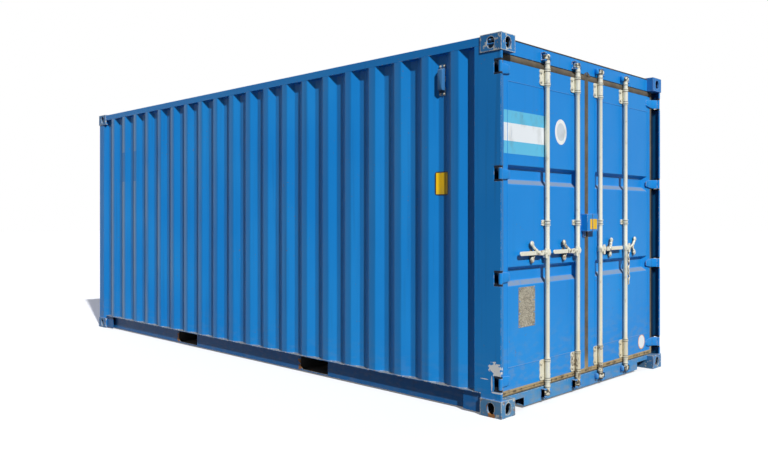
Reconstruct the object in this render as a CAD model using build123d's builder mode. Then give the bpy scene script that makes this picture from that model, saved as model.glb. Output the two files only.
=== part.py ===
"""Twenty foot dry freight container: a welded steel box with corrugated walls and two end doors.

X runs along the length with the doors at +X, Y across, Z up. The origin is on the ground
under the middle. Left and right are as seen by someone who faces the doors. Millimetres.
"""

import math
import os

from build123d import *

os.makedirs("parts", exist_ok=True)

# Overall size, over the corner castings
LENGTH = 6058.0
WIDTH = 2438.0
HEIGHT = 2591.0

# Corner castings
CASTING_LENGTH = 178.0
CASTING_WIDTH = 162.0
CASTING_HEIGHT = 118.0
CASTING_WALL = 18.0
LOCK_HOLE_LENGTH = 124.0
LOCK_HOLE_WIDTH = 63.5
LOCK_HOLE_FROM_END = 102.5
LOCK_HOLE_FROM_SIDE = 89.5
SIDE_HOLE_HEIGHT = 79.5
SIDE_HOLE_WIDTH = 63.5

# Posts and rails, which stand a little inside the castings' outer faces
FACE_INSET = 6.0
TOP_INSET = 8.0
REAR_POST_LENGTH = 226.0
JAMB_DEPTH = 63.0
POST_WALL = 6.0
POST_LIP = 21.0
FRONT_POST_LENGTH = 114.0
TOP_RAIL_SIZE = 60.0
TOP_RAIL_WALL = 4.0
END_RAIL_WALL = 5.0
END_RAIL_DEPTH = 72.0
END_FACE_SETBACK = 57.0
BOTTOM_RAIL_TOP = 153.0
BOTTOM_RAIL_FOOT = 12.0
BOTTOM_RAIL_WALL = 5.0
RAIL_WEB_INSET = 43.0
RAIL_LIP = 3.0
RAIL_FOOT_REACH = 40.0
RAIL_END_PLATE_LENGTH = 161.0
RAIL_END_PLATE_INSET = 13.0
SILL_FOOT = 17.0
SILL_NOTCH_LENGTH = 190.0
SILL_NOTCH_HEIGHT = 62.0

# Corrugated sheets
SHEET = 2.0
SIDE_RECESSES = 21
SIDE_RECESS_DEPTH = 36.0
SIDE_SLOPE = 68.0
SIDE_RECESS_FLAT = 72.0
FRONT_RECESSES = 8
FRONT_RECESS_DEPTH = 45.0
FRONT_SLOPE = 18.0
FRONT_RECESS_FLAT = 110.0
FRONT_SHEET_INSET = 6.0
ROOF_RECESSES = 27
ROOF_RECESS_DEPTH = 20.0
ROOF_SLOPE = 15.0
ROOF_RECESS_FLAT = 91.0

# Floor and underframe
FLOOR_THICKNESS = 28.0
FLOOR_BOARD_ROWS = 5
FLOOR_BOARD_COLUMNS = 2
FLOOR_JOINT = 3.0
FLOOR_EDGE_GAP = 6.0
CROSS_MEMBER_HEIGHT = 133.0
CROSS_MEMBER_WIDTH = 45.0
CROSS_MEMBER_WALL = 4.0
CROSS_MEMBER_END_GAP = 61.0
CROSS_MEMBER_PAIRS = 9
POCKET_CENTRE = 1030.0
POCKET_WIDTH = 362.0
POCKET_HEIGHT = 122.0
POCKET_WALL = 4.0
MOUTH_CHAMFER_LENGTH = 28.0
MOUTH_CHAMFER_HEIGHT = 25.0

# Ventilators, one in a wall recess on each side, counted from opposite ends
VENT_WIDTH = 64.0
VENT_DEPTH = 34.0
VENT_HEIGHT = 225.0
VENT_DROP = 72.0
VENT_WALL = 3.0
VENT_RECESSES = {"left": SIDE_RECESSES - 2, "right": 1}

# Door leaves
DOOR_SETBACK = 60.0
LEAF_THICKNESS = 50.0
JAMB_STEP = 14.0
LEAF_SIDE_GAP = 25.0
LEAF_TOP_GAP = 43.0
LEAF_FOOT_GAP = 42.0
SEAM_WIDTH = 44.0
HINGE_STILE_WIDTH = 60.0
SEAM_STILE_WIDTH = 110.0
LEAF_TOP_RAIL = 140.0
LEAF_FOOT_RAIL = 153.0
LEAF_TUBE_WALL = 3.0
PANEL_RECESS_FROM_FOOT = 626.0
PANEL_RECESS_FROM_TOP = 645.0
PANEL_RECESS_HEIGHT = 132.0
PANEL_RECESS_SLOPE = 36.0
PANEL_RECESS_DEPTH = 38.0
PANEL_RECESS_MARGIN = 8.0
FRAME_CLEARANCE = 6.0
SEAM_CLEARANCE = 8.0
GASKET_DEPTH = 30.0
GASKET_SETBACK = 4.0

# Hinges, of which the middle two sit level with the recesses of the door panel
HINGE_FROM_POST_FOOT = 112.0
HINGE_FROM_POST_TOP = 108.0
HINGE_WINDOW_HEIGHT = 104.0
HINGE_WINDOW_LENGTH = 58.0
HINGE_PIN_INSET = 20.0
KNUCKLE_RADIUS = 14.0
HINGE_PIN_RADIUS = 9.0
PIN_CLEARANCE = 0.3
LUG_THICKNESS = 12.0
KNUCKLE_END_GAP = 1.0
BLADE_THICKNESS = 10.0
BLADE_LENGTH = 88.0
BLADE_BEVEL = 12.0
BLADE_ELBOW = 30.0

# Locking bars and their fittings
OUTER_BAR_OFFSET = 603.0
INNER_BAR_OFFSET = 175.0
BAR_RADIUS = 17.0
BAR_WALL = 3.0
BAR_STANDOFF = 26.0
BAR_STUB = 6.0
CAM_FROM_FRAME_EDGE = 43.0
CAM_HEIGHT = 29.0
CAM_COLLAR_RADIUS = 20.0
CAM_NOSE_REACH = 46.0
CAM_NOSE_WIDTH = 18.0
KEEPER_CLEARANCE = 6.0
KEEPER_JAW = 12.0
KEEPER_WIDTH = 31.0
KEEPER_PLATE = 7.0
KEEPER_REACH = 38.0
BRACKET_WIDTH = 140.0
BRACKET_FLANGE = 5.0
BRACKET_WALL = 7.0
BRACKET_CLEARANCE = 0.4
BRACKET_MARGIN = 5.0
TOP_BRACKET_HEIGHT = 115.0
FOOT_BRACKET_HEIGHT = 150.0
MID_CLAMP_LEVEL = 1310.0
MID_CLAMP_HEIGHT = 41.0
MID_CLAMP_WIDTH = 70.0
RING_HEIGHT = 10.0
RING_RADIUS = 21.0
RING_GAP = 0.5

# Bar handles, their hubs and catches
HANDLE_LEVEL = 1095.0
HANDLE_STANDOFF = 34.0
HANDLE_THICKNESS = 10.0
HANDLE_HEIGHT = 30.0
HANDLE_LENGTH = 320.0
HUB_RADIUS = 22.0
HUB_HEIGHT = 44.0
HUB_PLATE = 6.0
HUB_PLATE_HEIGHT = 38.0
HUB_PIN_OFFSET = 40.0
HUB_PIN_RADIUS = 6.0
HUB_SIDE_GAP = 0.5
CATCH_OFFSET = 177.0
CATCH_PLATE = 6.0
CATCH_PLATE_WIDTH = 34.0
CATCH_LOBE_RADIUS = 21.0
CATCH_LOBE_THICKNESS = 20.0
CATCH_LOBE_SPREAD = 52.0
CATCH_HOLE_RADIUS = 8.0

# Lock box halves and the data plate
LOCK_BOX_WIDTH = 160.0
LOCK_BOX_HEIGHT = 136.0
LOCK_BOX_DEPTH = 56.0
LOCK_BOX_WALL = 4.0
LOCK_BOX_LEVEL = 1240.0
PLATE_WIDTH = 205.0
PLATE_HEIGHT = 283.0
PLATE_THICKNESS = 2.0
PLATE_FROM_HINGE_EDGE = 193.0
PLATE_LEVEL = 575.0

# Faces and lines that the pieces share
X_END = LENGTH / 2
Y_SIDE = WIDTH / 2
X_CASTING = X_END - CASTING_LENGTH
Y_CASTING = Y_SIDE - CASTING_WIDTH
Z_POST_FOOT = CASTING_HEIGHT
Z_POST_TOP = HEIGHT - CASTING_HEIGHT
X_FACE = X_END - FACE_INSET
Y_FACE = Y_SIDE - FACE_INSET
Z_TOP = HEIGHT - TOP_INSET
Y_JAMB = Y_FACE - JAMB_DEPTH
X_REAR_POST = X_FACE - REAR_POST_LENGTH
X_FRONT_POST = FRONT_POST_LENGTH - X_FACE
Z_TOP_RAIL = Z_TOP - TOP_RAIL_SIZE
Y_TOP_RAIL = Y_FACE - TOP_RAIL_SIZE
Y_RAIL_WEB = Y_FACE - RAIL_WEB_INSET
Y_RAIL_INSIDE = Y_RAIL_WEB - BOTTOM_RAIL_WALL
Y_RAIL_END_PLATE = Y_FACE - RAIL_END_PLATE_INSET
Z_RAIL_SEAT = BOTTOM_RAIL_FOOT + BOTTOM_RAIL_WALL
Z_POCKET_TOP = BOTTOM_RAIL_TOP - BOTTOM_RAIL_WALL - POCKET_WALL
Z_POCKET_FOOT = Z_POCKET_TOP - POCKET_HEIGHT
Z_FLOOR = Z_RAIL_SEAT + CROSS_MEMBER_HEIGHT
CROSS_MEMBER_PITCH = (X_CASTING - CROSS_MEMBER_END_GAP) / CROSS_MEMBER_PAIRS
X_DOOR_FRAME = X_END - END_FACE_SETBACK
X_LEAF = X_END - DOOR_SETBACK
X_LEAF_BACK = X_LEAF - LEAF_THICKNESS
X_JAMB = X_LEAF - JAMB_STEP
Y_LEAF = Y_JAMB - LEAF_SIDE_GAP
Z_LEAF_FOOT = Z_POST_FOOT + LEAF_FOOT_GAP
Z_LEAF_TOP = Z_POST_TOP - LEAF_TOP_GAP
Y_SEAM = SEAM_WIDTH / 2
Y_PANEL_SEAM = Y_SEAM + SEAM_STILE_WIDTH
Y_PANEL_HINGE = Y_LEAF - HINGE_STILE_WIDTH
Z_PANEL_FOOT = Z_LEAF_FOOT + LEAF_FOOT_RAIL
Z_PANEL_TOP = Z_LEAF_TOP - LEAF_TOP_RAIL
PANEL_RECESS_LEVELS = (Z_PANEL_FOOT + PANEL_RECESS_FROM_FOOT, Z_PANEL_TOP - PANEL_RECESS_FROM_TOP)
HINGE_LEVELS = (
    Z_POST_FOOT + HINGE_FROM_POST_FOOT,
    *PANEL_RECESS_LEVELS,
    Z_POST_TOP - HINGE_FROM_POST_TOP,
)
X_PIN = X_END - HINGE_PIN_INSET
Y_PIN = Y_SIDE - HINGE_PIN_INSET
KNUCKLE_HEIGHT = HINGE_WINDOW_HEIGHT - 2 * (LUG_THICKNESS + KNUCKLE_END_GAP)
X_BAR = X_LEAF + BAR_STANDOFF
X_HANDLE = X_LEAF + HANDLE_STANDOFF
Z_TOP_CAM = Z_POST_TOP + CAM_FROM_FRAME_EDGE
Z_FOOT_CAM = Z_POST_FOOT - CAM_FROM_FRAME_EDGE
Z_TOP_BRACKET = Z_LEAF_TOP - BRACKET_MARGIN - TOP_BRACKET_HEIGHT
Z_FOOT_BRACKET = Z_LEAF_FOOT + BRACKET_MARGIN
Z_RING = Z_FOOT_BRACKET + FOOT_BRACKET_HEIGHT + RING_GAP
SIDE_PITCH = (X_REAR_POST - X_FRONT_POST - SIDE_SLOPE - SIDE_RECESS_FLAT) / (SIDE_RECESSES - 1)
BAR_OFFSETS = {"outer": OUTER_BAR_OFFSET, "inner": INNER_BAR_OFFSET}
SIDES = {"left": -1, "right": 1}
ENDS = (-1, 1)


def save(piece, name):
    """Labels a finished piece and writes it to its own file."""
    piece.part.label = name
    export_step(piece.part, f"parts/{name}.step")


def block(x0, x1, y0, y1, z0, z1, mode=Mode.ADD):
    """Adds to the open part, or cuts from it, the box between two corners."""
    with Locations(((x0 + x1) / 2, (y0 + y1) / 2, (z0 + z1) / 2)):
        Box(abs(x1 - x0), abs(y1 - y0), abs(z1 - z0), mode=mode)


def tube_along_x(x0, x1, y0, y1, z0, z1, wall):
    """Adds a rectangular tube with open ends at x0 and x1."""
    inwards = math.copysign(wall, y1 - y0)
    block(x0, x1, y0, y1, z0, z1)
    block(x0, x1, y0 + inwards, y1 - inwards, z0 + wall, z1 - wall, Mode.SUBTRACT)


def tube_along_y(x0, x1, y0, y1, z0, z1, wall):
    """Adds a rectangular tube with open ends at y0 and y1."""
    block(x0, x1, y0, y1, z0, z1)
    block(x0 + wall, x1 - wall, y0, y1, z0 + wall, z1 - wall, Mode.SUBTRACT)


def tube_along_z(x0, x1, y0, y1, z0, z1, wall):
    """Adds a rectangular tube with open ends at z0 and z1."""
    inwards = math.copysign(wall, y1 - y0)
    block(x0, x1, y0, y1, z0, z1)
    block(x0 + wall, x1 - wall, y0 + inwards, y1 - inwards, z0, z1, Mode.SUBTRACT)


def even_folds(start, end, recesses, flat, slope, depth):
    """Points (along, inwards) of a sheet folded into like recesses, with half a ridge at each end."""
    pitch = (end - start) / recesses
    half_ridge = (pitch - flat - 2 * slope) / 2
    points = [(start, 0.0)]
    for index in range(recesses):
        fold = start + index * pitch + half_ridge
        points.append((fold, 0.0))
        points.append((fold + slope, depth))
        points.append((fold + slope + flat, depth))
        points.append((fold + 2 * slope + flat, 0.0))
    points.append((end, 0.0))
    return points


def side_folds():
    """Points (along, inwards) of a side wall, which starts in a slope and ends in a recess."""
    points = []
    for index in range(SIDE_RECESSES):
        fold = X_FRONT_POST + index * SIDE_PITCH
        points.append((fold, 0.0))
        points.append((fold + SIDE_SLOPE, SIDE_RECESS_DEPTH))
        points.append((fold + SIDE_SLOPE + SIDE_RECESS_FLAT, SIDE_RECESS_DEPTH))
        points.append((fold + 2 * SIDE_SLOPE + SIDE_RECESS_FLAT, 0.0))
    return points[:-1]


def sheet_outline(points):
    """Closed outline of a folded sheet: its outer face and back along its inner face."""
    return points + [(along, inwards + SHEET) for along, inwards in reversed(points)]


# Corner castings: hollow blocks with a lock hole up or down and two hand holes outwards
for level, lock_face, inwards in (("bottom", 0.0, 1), ("top", HEIGHT, -1)):
    with BuildPart() as castings:
        middle = lock_face + inwards * CASTING_HEIGHT / 2
        for x_side in ENDS:
            for y_side in ENDS:
                centre_x = x_side * (X_END - CASTING_LENGTH / 2)
                centre_y = y_side * (Y_SIDE - CASTING_WIDTH / 2)
                with Locations((centre_x, centre_y, middle)):
                    Box(CASTING_LENGTH, CASTING_WIDTH, CASTING_HEIGHT)
                    Box(
                        CASTING_LENGTH - 2 * CASTING_WALL,
                        CASTING_WIDTH - 2 * CASTING_WALL,
                        CASTING_HEIGHT - 2 * CASTING_WALL,
                        mode=Mode.SUBTRACT,
                    )
                lock_x = x_side * (X_END - LOCK_HOLE_FROM_END)
                lock_y = y_side * (Y_SIDE - LOCK_HOLE_FROM_SIDE)
                with BuildSketch(Plane((lock_x, lock_y, lock_face), (1, 0, 0), (0, 0, inwards))):
                    SlotOverall(LOCK_HOLE_LENGTH, LOCK_HOLE_WIDTH)
                extrude(amount=CASTING_WALL, mode=Mode.SUBTRACT)
                with BuildSketch(Plane((centre_x, y_side * Y_SIDE, middle), (1, 0, 0), (0, -y_side, 0))):
                    SlotOverall(SIDE_HOLE_HEIGHT, SIDE_HOLE_WIDTH, rotation=90)
                extrude(amount=2 * CASTING_WALL, mode=Mode.SUBTRACT)
                with BuildSketch(Plane((x_side * X_END, centre_y, middle), (0, 1, 0), (-x_side, 0, 0))):
                    SlotOverall(SIDE_HOLE_HEIGHT, SIDE_HOLE_WIDTH, rotation=90)
                extrude(amount=2 * CASTING_WALL, mode=Mode.SUBTRACT)
    save(castings, f"{level}_corner_castings")

# Front posts: plain box posts between the castings
for side, out in SIDES.items():
    with BuildPart() as front_post:
        tube_along_z(
            -X_FACE, X_FRONT_POST, out * Y_CASTING, out * Y_FACE, Z_POST_FOOT, Z_POST_TOP, POST_WALL
        )
    save(front_post, f"{side}_front_post")

# Rear posts: a box that the door closes beside, with an outer plate that turns in behind the hinges
for side, out in SIDES.items():
    with BuildPart() as rear_post:
        block(X_REAR_POST, X_JAMB, out * Y_JAMB, out * Y_FACE, Z_POST_FOOT, Z_TOP_RAIL)
        block(X_JAMB, X_FACE, out * (Y_FACE - POST_WALL), out * Y_FACE, Z_POST_FOOT, Z_POST_TOP)
        block(X_FACE - POST_WALL, X_FACE, out * (Y_FACE - POST_LIP), out * Y_FACE, Z_POST_FOOT, Z_POST_TOP)
        block(
            X_REAR_POST + POST_WALL,
            X_JAMB - POST_WALL,
            out * (Y_JAMB + POST_WALL),
            out * (Y_FACE - POST_WALL),
            Z_POST_FOOT,
            Z_TOP_RAIL,
            Mode.SUBTRACT,
        )
        block(
            X_REAR_POST, X_CASTING, out * Y_JAMB, out * Y_FACE, Z_POST_FOOT, BOTTOM_RAIL_TOP, Mode.SUBTRACT
        )
        block(X_CASTING, X_FACE, out * Y_JAMB, out * Y_FACE, Z_POST_TOP, Z_TOP_RAIL, Mode.SUBTRACT)
        for hinge in HINGE_LEVELS:
            block(
                X_FACE - HINGE_WINDOW_LENGTH,
                X_FACE,
                out * (Y_FACE - POST_LIP),
                out * Y_FACE,
                hinge - HINGE_WINDOW_HEIGHT / 2,
                hinge + HINGE_WINDOW_HEIGHT / 2,
                Mode.SUBTRACT,
            )
    save(rear_post, f"{side}_rear_post")

# Hinge lugs: two ears and a pin in each window of the rear posts
for side, out in SIDES.items():
    with BuildPart() as hinge_lugs:
        for hinge in HINGE_LEVELS:
            foot = hinge - HINGE_WINDOW_HEIGHT / 2
            for ear in (foot, foot + HINGE_WINDOW_HEIGHT - LUG_THICKNESS):
                with BuildSketch(Plane.XY.offset(ear)):
                    with Locations((X_PIN, out * Y_PIN)):
                        Circle(KNUCKLE_RADIUS)
                    x_web = X_FACE - HINGE_WINDOW_LENGTH
                    with Locations(((x_web + X_PIN) / 2, out * (Y_PIN + Y_FACE) / 2)):
                        Rectangle(X_PIN - x_web, Y_FACE - Y_PIN)
                extrude(amount=LUG_THICKNESS)
            with BuildSketch(Plane.XY.offset(foot)):
                with Locations((X_PIN, out * Y_PIN)):
                    Circle(HINGE_PIN_RADIUS)
            extrude(amount=HINGE_WINDOW_HEIGHT)
    save(hinge_lugs, f"{side}_hinge_lugs")

# Long rails of the roof and the floor frame
for side, out in SIDES.items():
    with BuildPart() as top_rail:
        tube_along_x(
            -X_CASTING, X_CASTING, out * Y_TOP_RAIL, out * Y_FACE, Z_TOP_RAIL, Z_TOP, TOP_RAIL_WALL
        )
    save(top_rail, f"{side}_top_rail")

    with BuildPart() as bottom_rail:
        z_under = BOTTOM_RAIL_TOP - BOTTOM_RAIL_WALL
        y_lip = Y_FACE + RAIL_LIP
        y_foot = Y_RAIL_WEB - RAIL_FOOT_REACH
        block(-X_CASTING, X_CASTING, out * Y_RAIL_INSIDE, out * y_lip, z_under, BOTTOM_RAIL_TOP)
        block(-X_CASTING, X_CASTING, out * Y_RAIL_INSIDE, out * Y_RAIL_WEB, BOTTOM_RAIL_FOOT, z_under)
        block(-X_CASTING, X_CASTING, out * y_foot, out * Y_RAIL_WEB, BOTTOM_RAIL_FOOT, Z_RAIL_SEAT)
        for end in ENDS:
            block(
                end * (X_CASTING - RAIL_END_PLATE_LENGTH),
                end * X_CASTING,
                out * (Y_RAIL_END_PLATE - BOTTOM_RAIL_WALL),
                out * Y_RAIL_END_PLATE,
                BOTTOM_RAIL_FOOT,
                z_under,
            )
            x_near = end * POCKET_CENTRE - POCKET_WIDTH / 2
            x_far = x_near + POCKET_WIDTH
            mouth = (
                (x_near, Z_POCKET_TOP),
                (x_near, Z_POCKET_FOOT + MOUTH_CHAMFER_HEIGHT),
                (x_near + MOUTH_CHAMFER_LENGTH, Z_POCKET_FOOT),
                (x_far, Z_POCKET_FOOT),
                (x_far, Z_POCKET_TOP),
            )
            with BuildSketch(Plane.XZ):
                with BuildLine():
                    Polyline(mouth, close=True)
                make_face()
            extrude(amount=Y_RAIL_WEB, both=True, mode=Mode.SUBTRACT)
    save(bottom_rail, f"{side}_bottom_rail")

# Cross rails at the front end
with BuildPart() as front_top_rail:
    tube_along_y(-X_FACE, -X_CASTING, -Y_CASTING, Y_CASTING, Z_TOP_RAIL, Z_TOP, END_RAIL_WALL)
save(front_top_rail, "front_top_rail")

with BuildPart() as front_bottom_rail:
    tube_along_y(
        -X_FACE, END_RAIL_DEPTH - X_FACE, -Y_CASTING, Y_CASTING, SILL_FOOT, BOTTOM_RAIL_TOP, END_RAIL_WALL
    )
save(front_bottom_rail, "front_bottom_rail")

# Header and sill of the door end, the sill notched beside both castings
with BuildPart() as door_header:
    tube_along_y(X_CASTING, X_DOOR_FRAME, -Y_CASTING, Y_CASTING, Z_POST_TOP, Z_TOP, END_RAIL_WALL)
save(door_header, "door_header")

with BuildPart() as door_sill:
    tube_along_y(X_CASTING, X_DOOR_FRAME, -Y_CASTING, Y_CASTING, SILL_FOOT, Z_POST_FOOT, END_RAIL_WALL)
    for out in SIDES.values():
        block(
            X_CASTING,
            X_DOOR_FRAME,
            out * (Y_CASTING - SILL_NOTCH_LENGTH),
            out * Y_CASTING,
            SILL_FOOT,
            SILL_FOOT + SILL_NOTCH_HEIGHT,
            Mode.SUBTRACT,
        )
save(door_sill, "door_sill")

# Side walls: upright folds, cut round the front castings and the bottom rail
for side, out in SIDES.items():
    with BuildPart() as side_wall:
        with BuildSketch(Plane.XY.offset(Z_POST_FOOT)):
            with BuildLine():
                outline = sheet_outline(side_folds())
                Polyline([(along, out * (Y_FACE - inwards)) for along, inwards in outline], close=True)
            make_face()
        extrude(amount=Z_TOP_RAIL - Z_POST_FOOT)
        y_back = out * (Y_FACE - SIDE_RECESS_DEPTH - SHEET)
        y_front = out * Y_FACE
        block(-X_CASTING, X_REAR_POST, y_back, y_front, Z_POST_FOOT, BOTTOM_RAIL_TOP, Mode.SUBTRACT)
        block(X_FRONT_POST, -X_CASTING, y_back, y_front, Z_POST_TOP, Z_TOP_RAIL, Mode.SUBTRACT)
    save(side_wall, f"{side}_side_wall")

# Front wall with upright folds
with BuildPart() as front_wall:
    with BuildSketch(Plane.XY.offset(BOTTOM_RAIL_TOP)):
        with BuildLine():
            folds = even_folds(
                -Y_CASTING, Y_CASTING, FRONT_RECESSES, FRONT_RECESS_FLAT, FRONT_SLOPE, FRONT_RECESS_DEPTH
            )
            x_sheet = FRONT_SHEET_INSET - X_FACE
            Polyline([(x_sheet + inwards, along) for along, inwards in sheet_outline(folds)], close=True)
        make_face()
    extrude(amount=Z_TOP_RAIL - BOTTOM_RAIL_TOP)
save(front_wall, "front_wall")

# Roof sheet with shallow folds across
with BuildPart() as roof_panel:
    with BuildSketch(Plane.XZ):
        with BuildLine():
            folds = even_folds(
                -X_CASTING, X_CASTING, ROOF_RECESSES, ROOF_RECESS_FLAT, ROOF_SLOPE, ROOF_RECESS_DEPTH
            )
            Polyline([(along, Z_TOP - inwards) for along, inwards in sheet_outline(folds)], close=True)
        make_face()
    extrude(amount=Y_TOP_RAIL, both=True)
save(roof_panel, "roof_panel")

# Floor boards on cross members, with two fork pockets through the underframe
with BuildPart() as floor_boards:
    x_from = X_FRONT_POST + FLOOR_EDGE_GAP
    board_length = (X_CASTING - FLOOR_EDGE_GAP - x_from) / FLOOR_BOARD_ROWS
    board_width = 2 * (Y_JAMB - FLOOR_EDGE_GAP) / FLOOR_BOARD_COLUMNS
    with Locations((x_from + board_length * FLOOR_BOARD_ROWS / 2, 0, Z_FLOOR + FLOOR_THICKNESS / 2)):
        with GridLocations(board_length, board_width, FLOOR_BOARD_ROWS, FLOOR_BOARD_COLUMNS):
            Box(board_length - FLOOR_JOINT, board_width - FLOOR_JOINT, FLOOR_THICKNESS)
save(floor_boards, "floor_boards")

with BuildPart() as cross_members:
    pocket_reach = (POCKET_WIDTH + CROSS_MEMBER_WIDTH) / 2 + POCKET_WALL
    for end in ENDS:
        for index in range(CROSS_MEMBER_PAIRS):
            place = end * (index + 0.5) * CROSS_MEMBER_PITCH
            if abs(abs(place) - POCKET_CENTRE) > pocket_reach:
                x_low = place - CROSS_MEMBER_WIDTH / 2
                x_high = place + CROSS_MEMBER_WIDTH / 2
                block(x_low, x_high, -Y_RAIL_INSIDE, Y_RAIL_INSIDE, Z_RAIL_SEAT, Z_FLOOR)
                block(
                    x_low + CROSS_MEMBER_WALL,
                    x_high,
                    -Y_RAIL_INSIDE,
                    Y_RAIL_INSIDE,
                    Z_RAIL_SEAT + CROSS_MEMBER_WALL,
                    Z_FLOOR - CROSS_MEMBER_WALL,
                    Mode.SUBTRACT,
                )
save(cross_members, "cross_members")

with BuildPart() as fork_pockets:
    for end in ENDS:
        tube_along_y(
            end * POCKET_CENTRE - POCKET_WIDTH / 2 - POCKET_WALL,
            end * POCKET_CENTRE + POCKET_WIDTH / 2 + POCKET_WALL,
            -Y_RAIL_INSIDE,
            Y_RAIL_INSIDE,
            Z_POCKET_FOOT - POCKET_WALL,
            Z_POCKET_TOP + POCKET_WALL,
            POCKET_WALL,
        )
save(fork_pockets, "fork_pockets")

# Ventilators: hoods that are open below
with BuildPart() as side_vents:
    for side, out in SIDES.items():
        middle = X_FRONT_POST + VENT_RECESSES[side] * SIDE_PITCH + SIDE_SLOPE + SIDE_RECESS_FLAT / 2
        z_high = Z_TOP_RAIL - VENT_DROP
        y_wall = Y_FACE - SIDE_RECESS_DEPTH
        y_hood = y_wall + VENT_DEPTH
        z_low = z_high - VENT_HEIGHT
        half = VENT_WIDTH / 2
        block(middle - half, middle + half, out * y_wall, out * y_hood, z_low, z_high)
        block(
            middle - half + VENT_WALL,
            middle + half - VENT_WALL,
            out * (y_wall + VENT_WALL),
            out * (y_hood - VENT_WALL),
            z_low,
            z_high - VENT_WALL,
            Mode.SUBTRACT,
        )
save(side_vents, "side_vents")

# Cam keepers on header and sill: a plate with a jaw over and under each cam nose
with BuildPart() as cam_keepers:
    for out in SIDES.values():
        for offset in BAR_OFFSETS.values():
            y_near = out * (offset + BAR_RADIUS + KEEPER_CLEARANCE)
            y_far = y_near + out * KEEPER_WIDTH
            x_tip = X_DOOR_FRAME + KEEPER_REACH
            half = CAM_HEIGHT / 2 + KEEPER_CLEARANCE
            for cam in (Z_FOOT_CAM, Z_TOP_CAM):
                block(X_DOOR_FRAME, x_tip, y_near, y_far, cam - half - KEEPER_JAW, cam + half + KEEPER_JAW)
                block(
                    X_DOOR_FRAME + KEEPER_PLATE, x_tip, y_near, y_far, cam - half, cam + half, Mode.SUBTRACT
                )
save(cam_keepers, "cam_keepers")


def pillow_block(y_bar, width, z_low, height):
    """Adds a bracket that carries a bar: a flange on the leaf and a rounded cover with a bore."""
    cover = BAR_RADIUS + BRACKET_CLEARANCE + BRACKET_WALL
    with BuildSketch(Plane.XY.offset(z_low)) as section:
        with Locations((X_BAR, y_bar)):
            Circle(cover)
        with Locations(((X_LEAF + X_BAR) / 2, y_bar)):
            Rectangle(X_BAR - X_LEAF, 2 * cover)
        with Locations((X_LEAF + BRACKET_FLANGE / 2, y_bar)):
            Rectangle(BRACKET_FLANGE, width)
        with Locations((X_BAR, y_bar)):
            Circle(BAR_RADIUS + BRACKET_CLEARANCE, mode=Mode.SUBTRACT)
    extrude(section.sketch, amount=height)


def bar_disc(y_bar, radius, z_low, height, mode=Mode.ADD):
    """Adds or cuts a round disc on a bar's axis."""
    with BuildSketch(Plane.XY.offset(z_low)) as section:
        with Locations((X_BAR, y_bar)):
            Circle(radius)
    extrude(section.sketch, amount=height, mode=mode)


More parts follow.
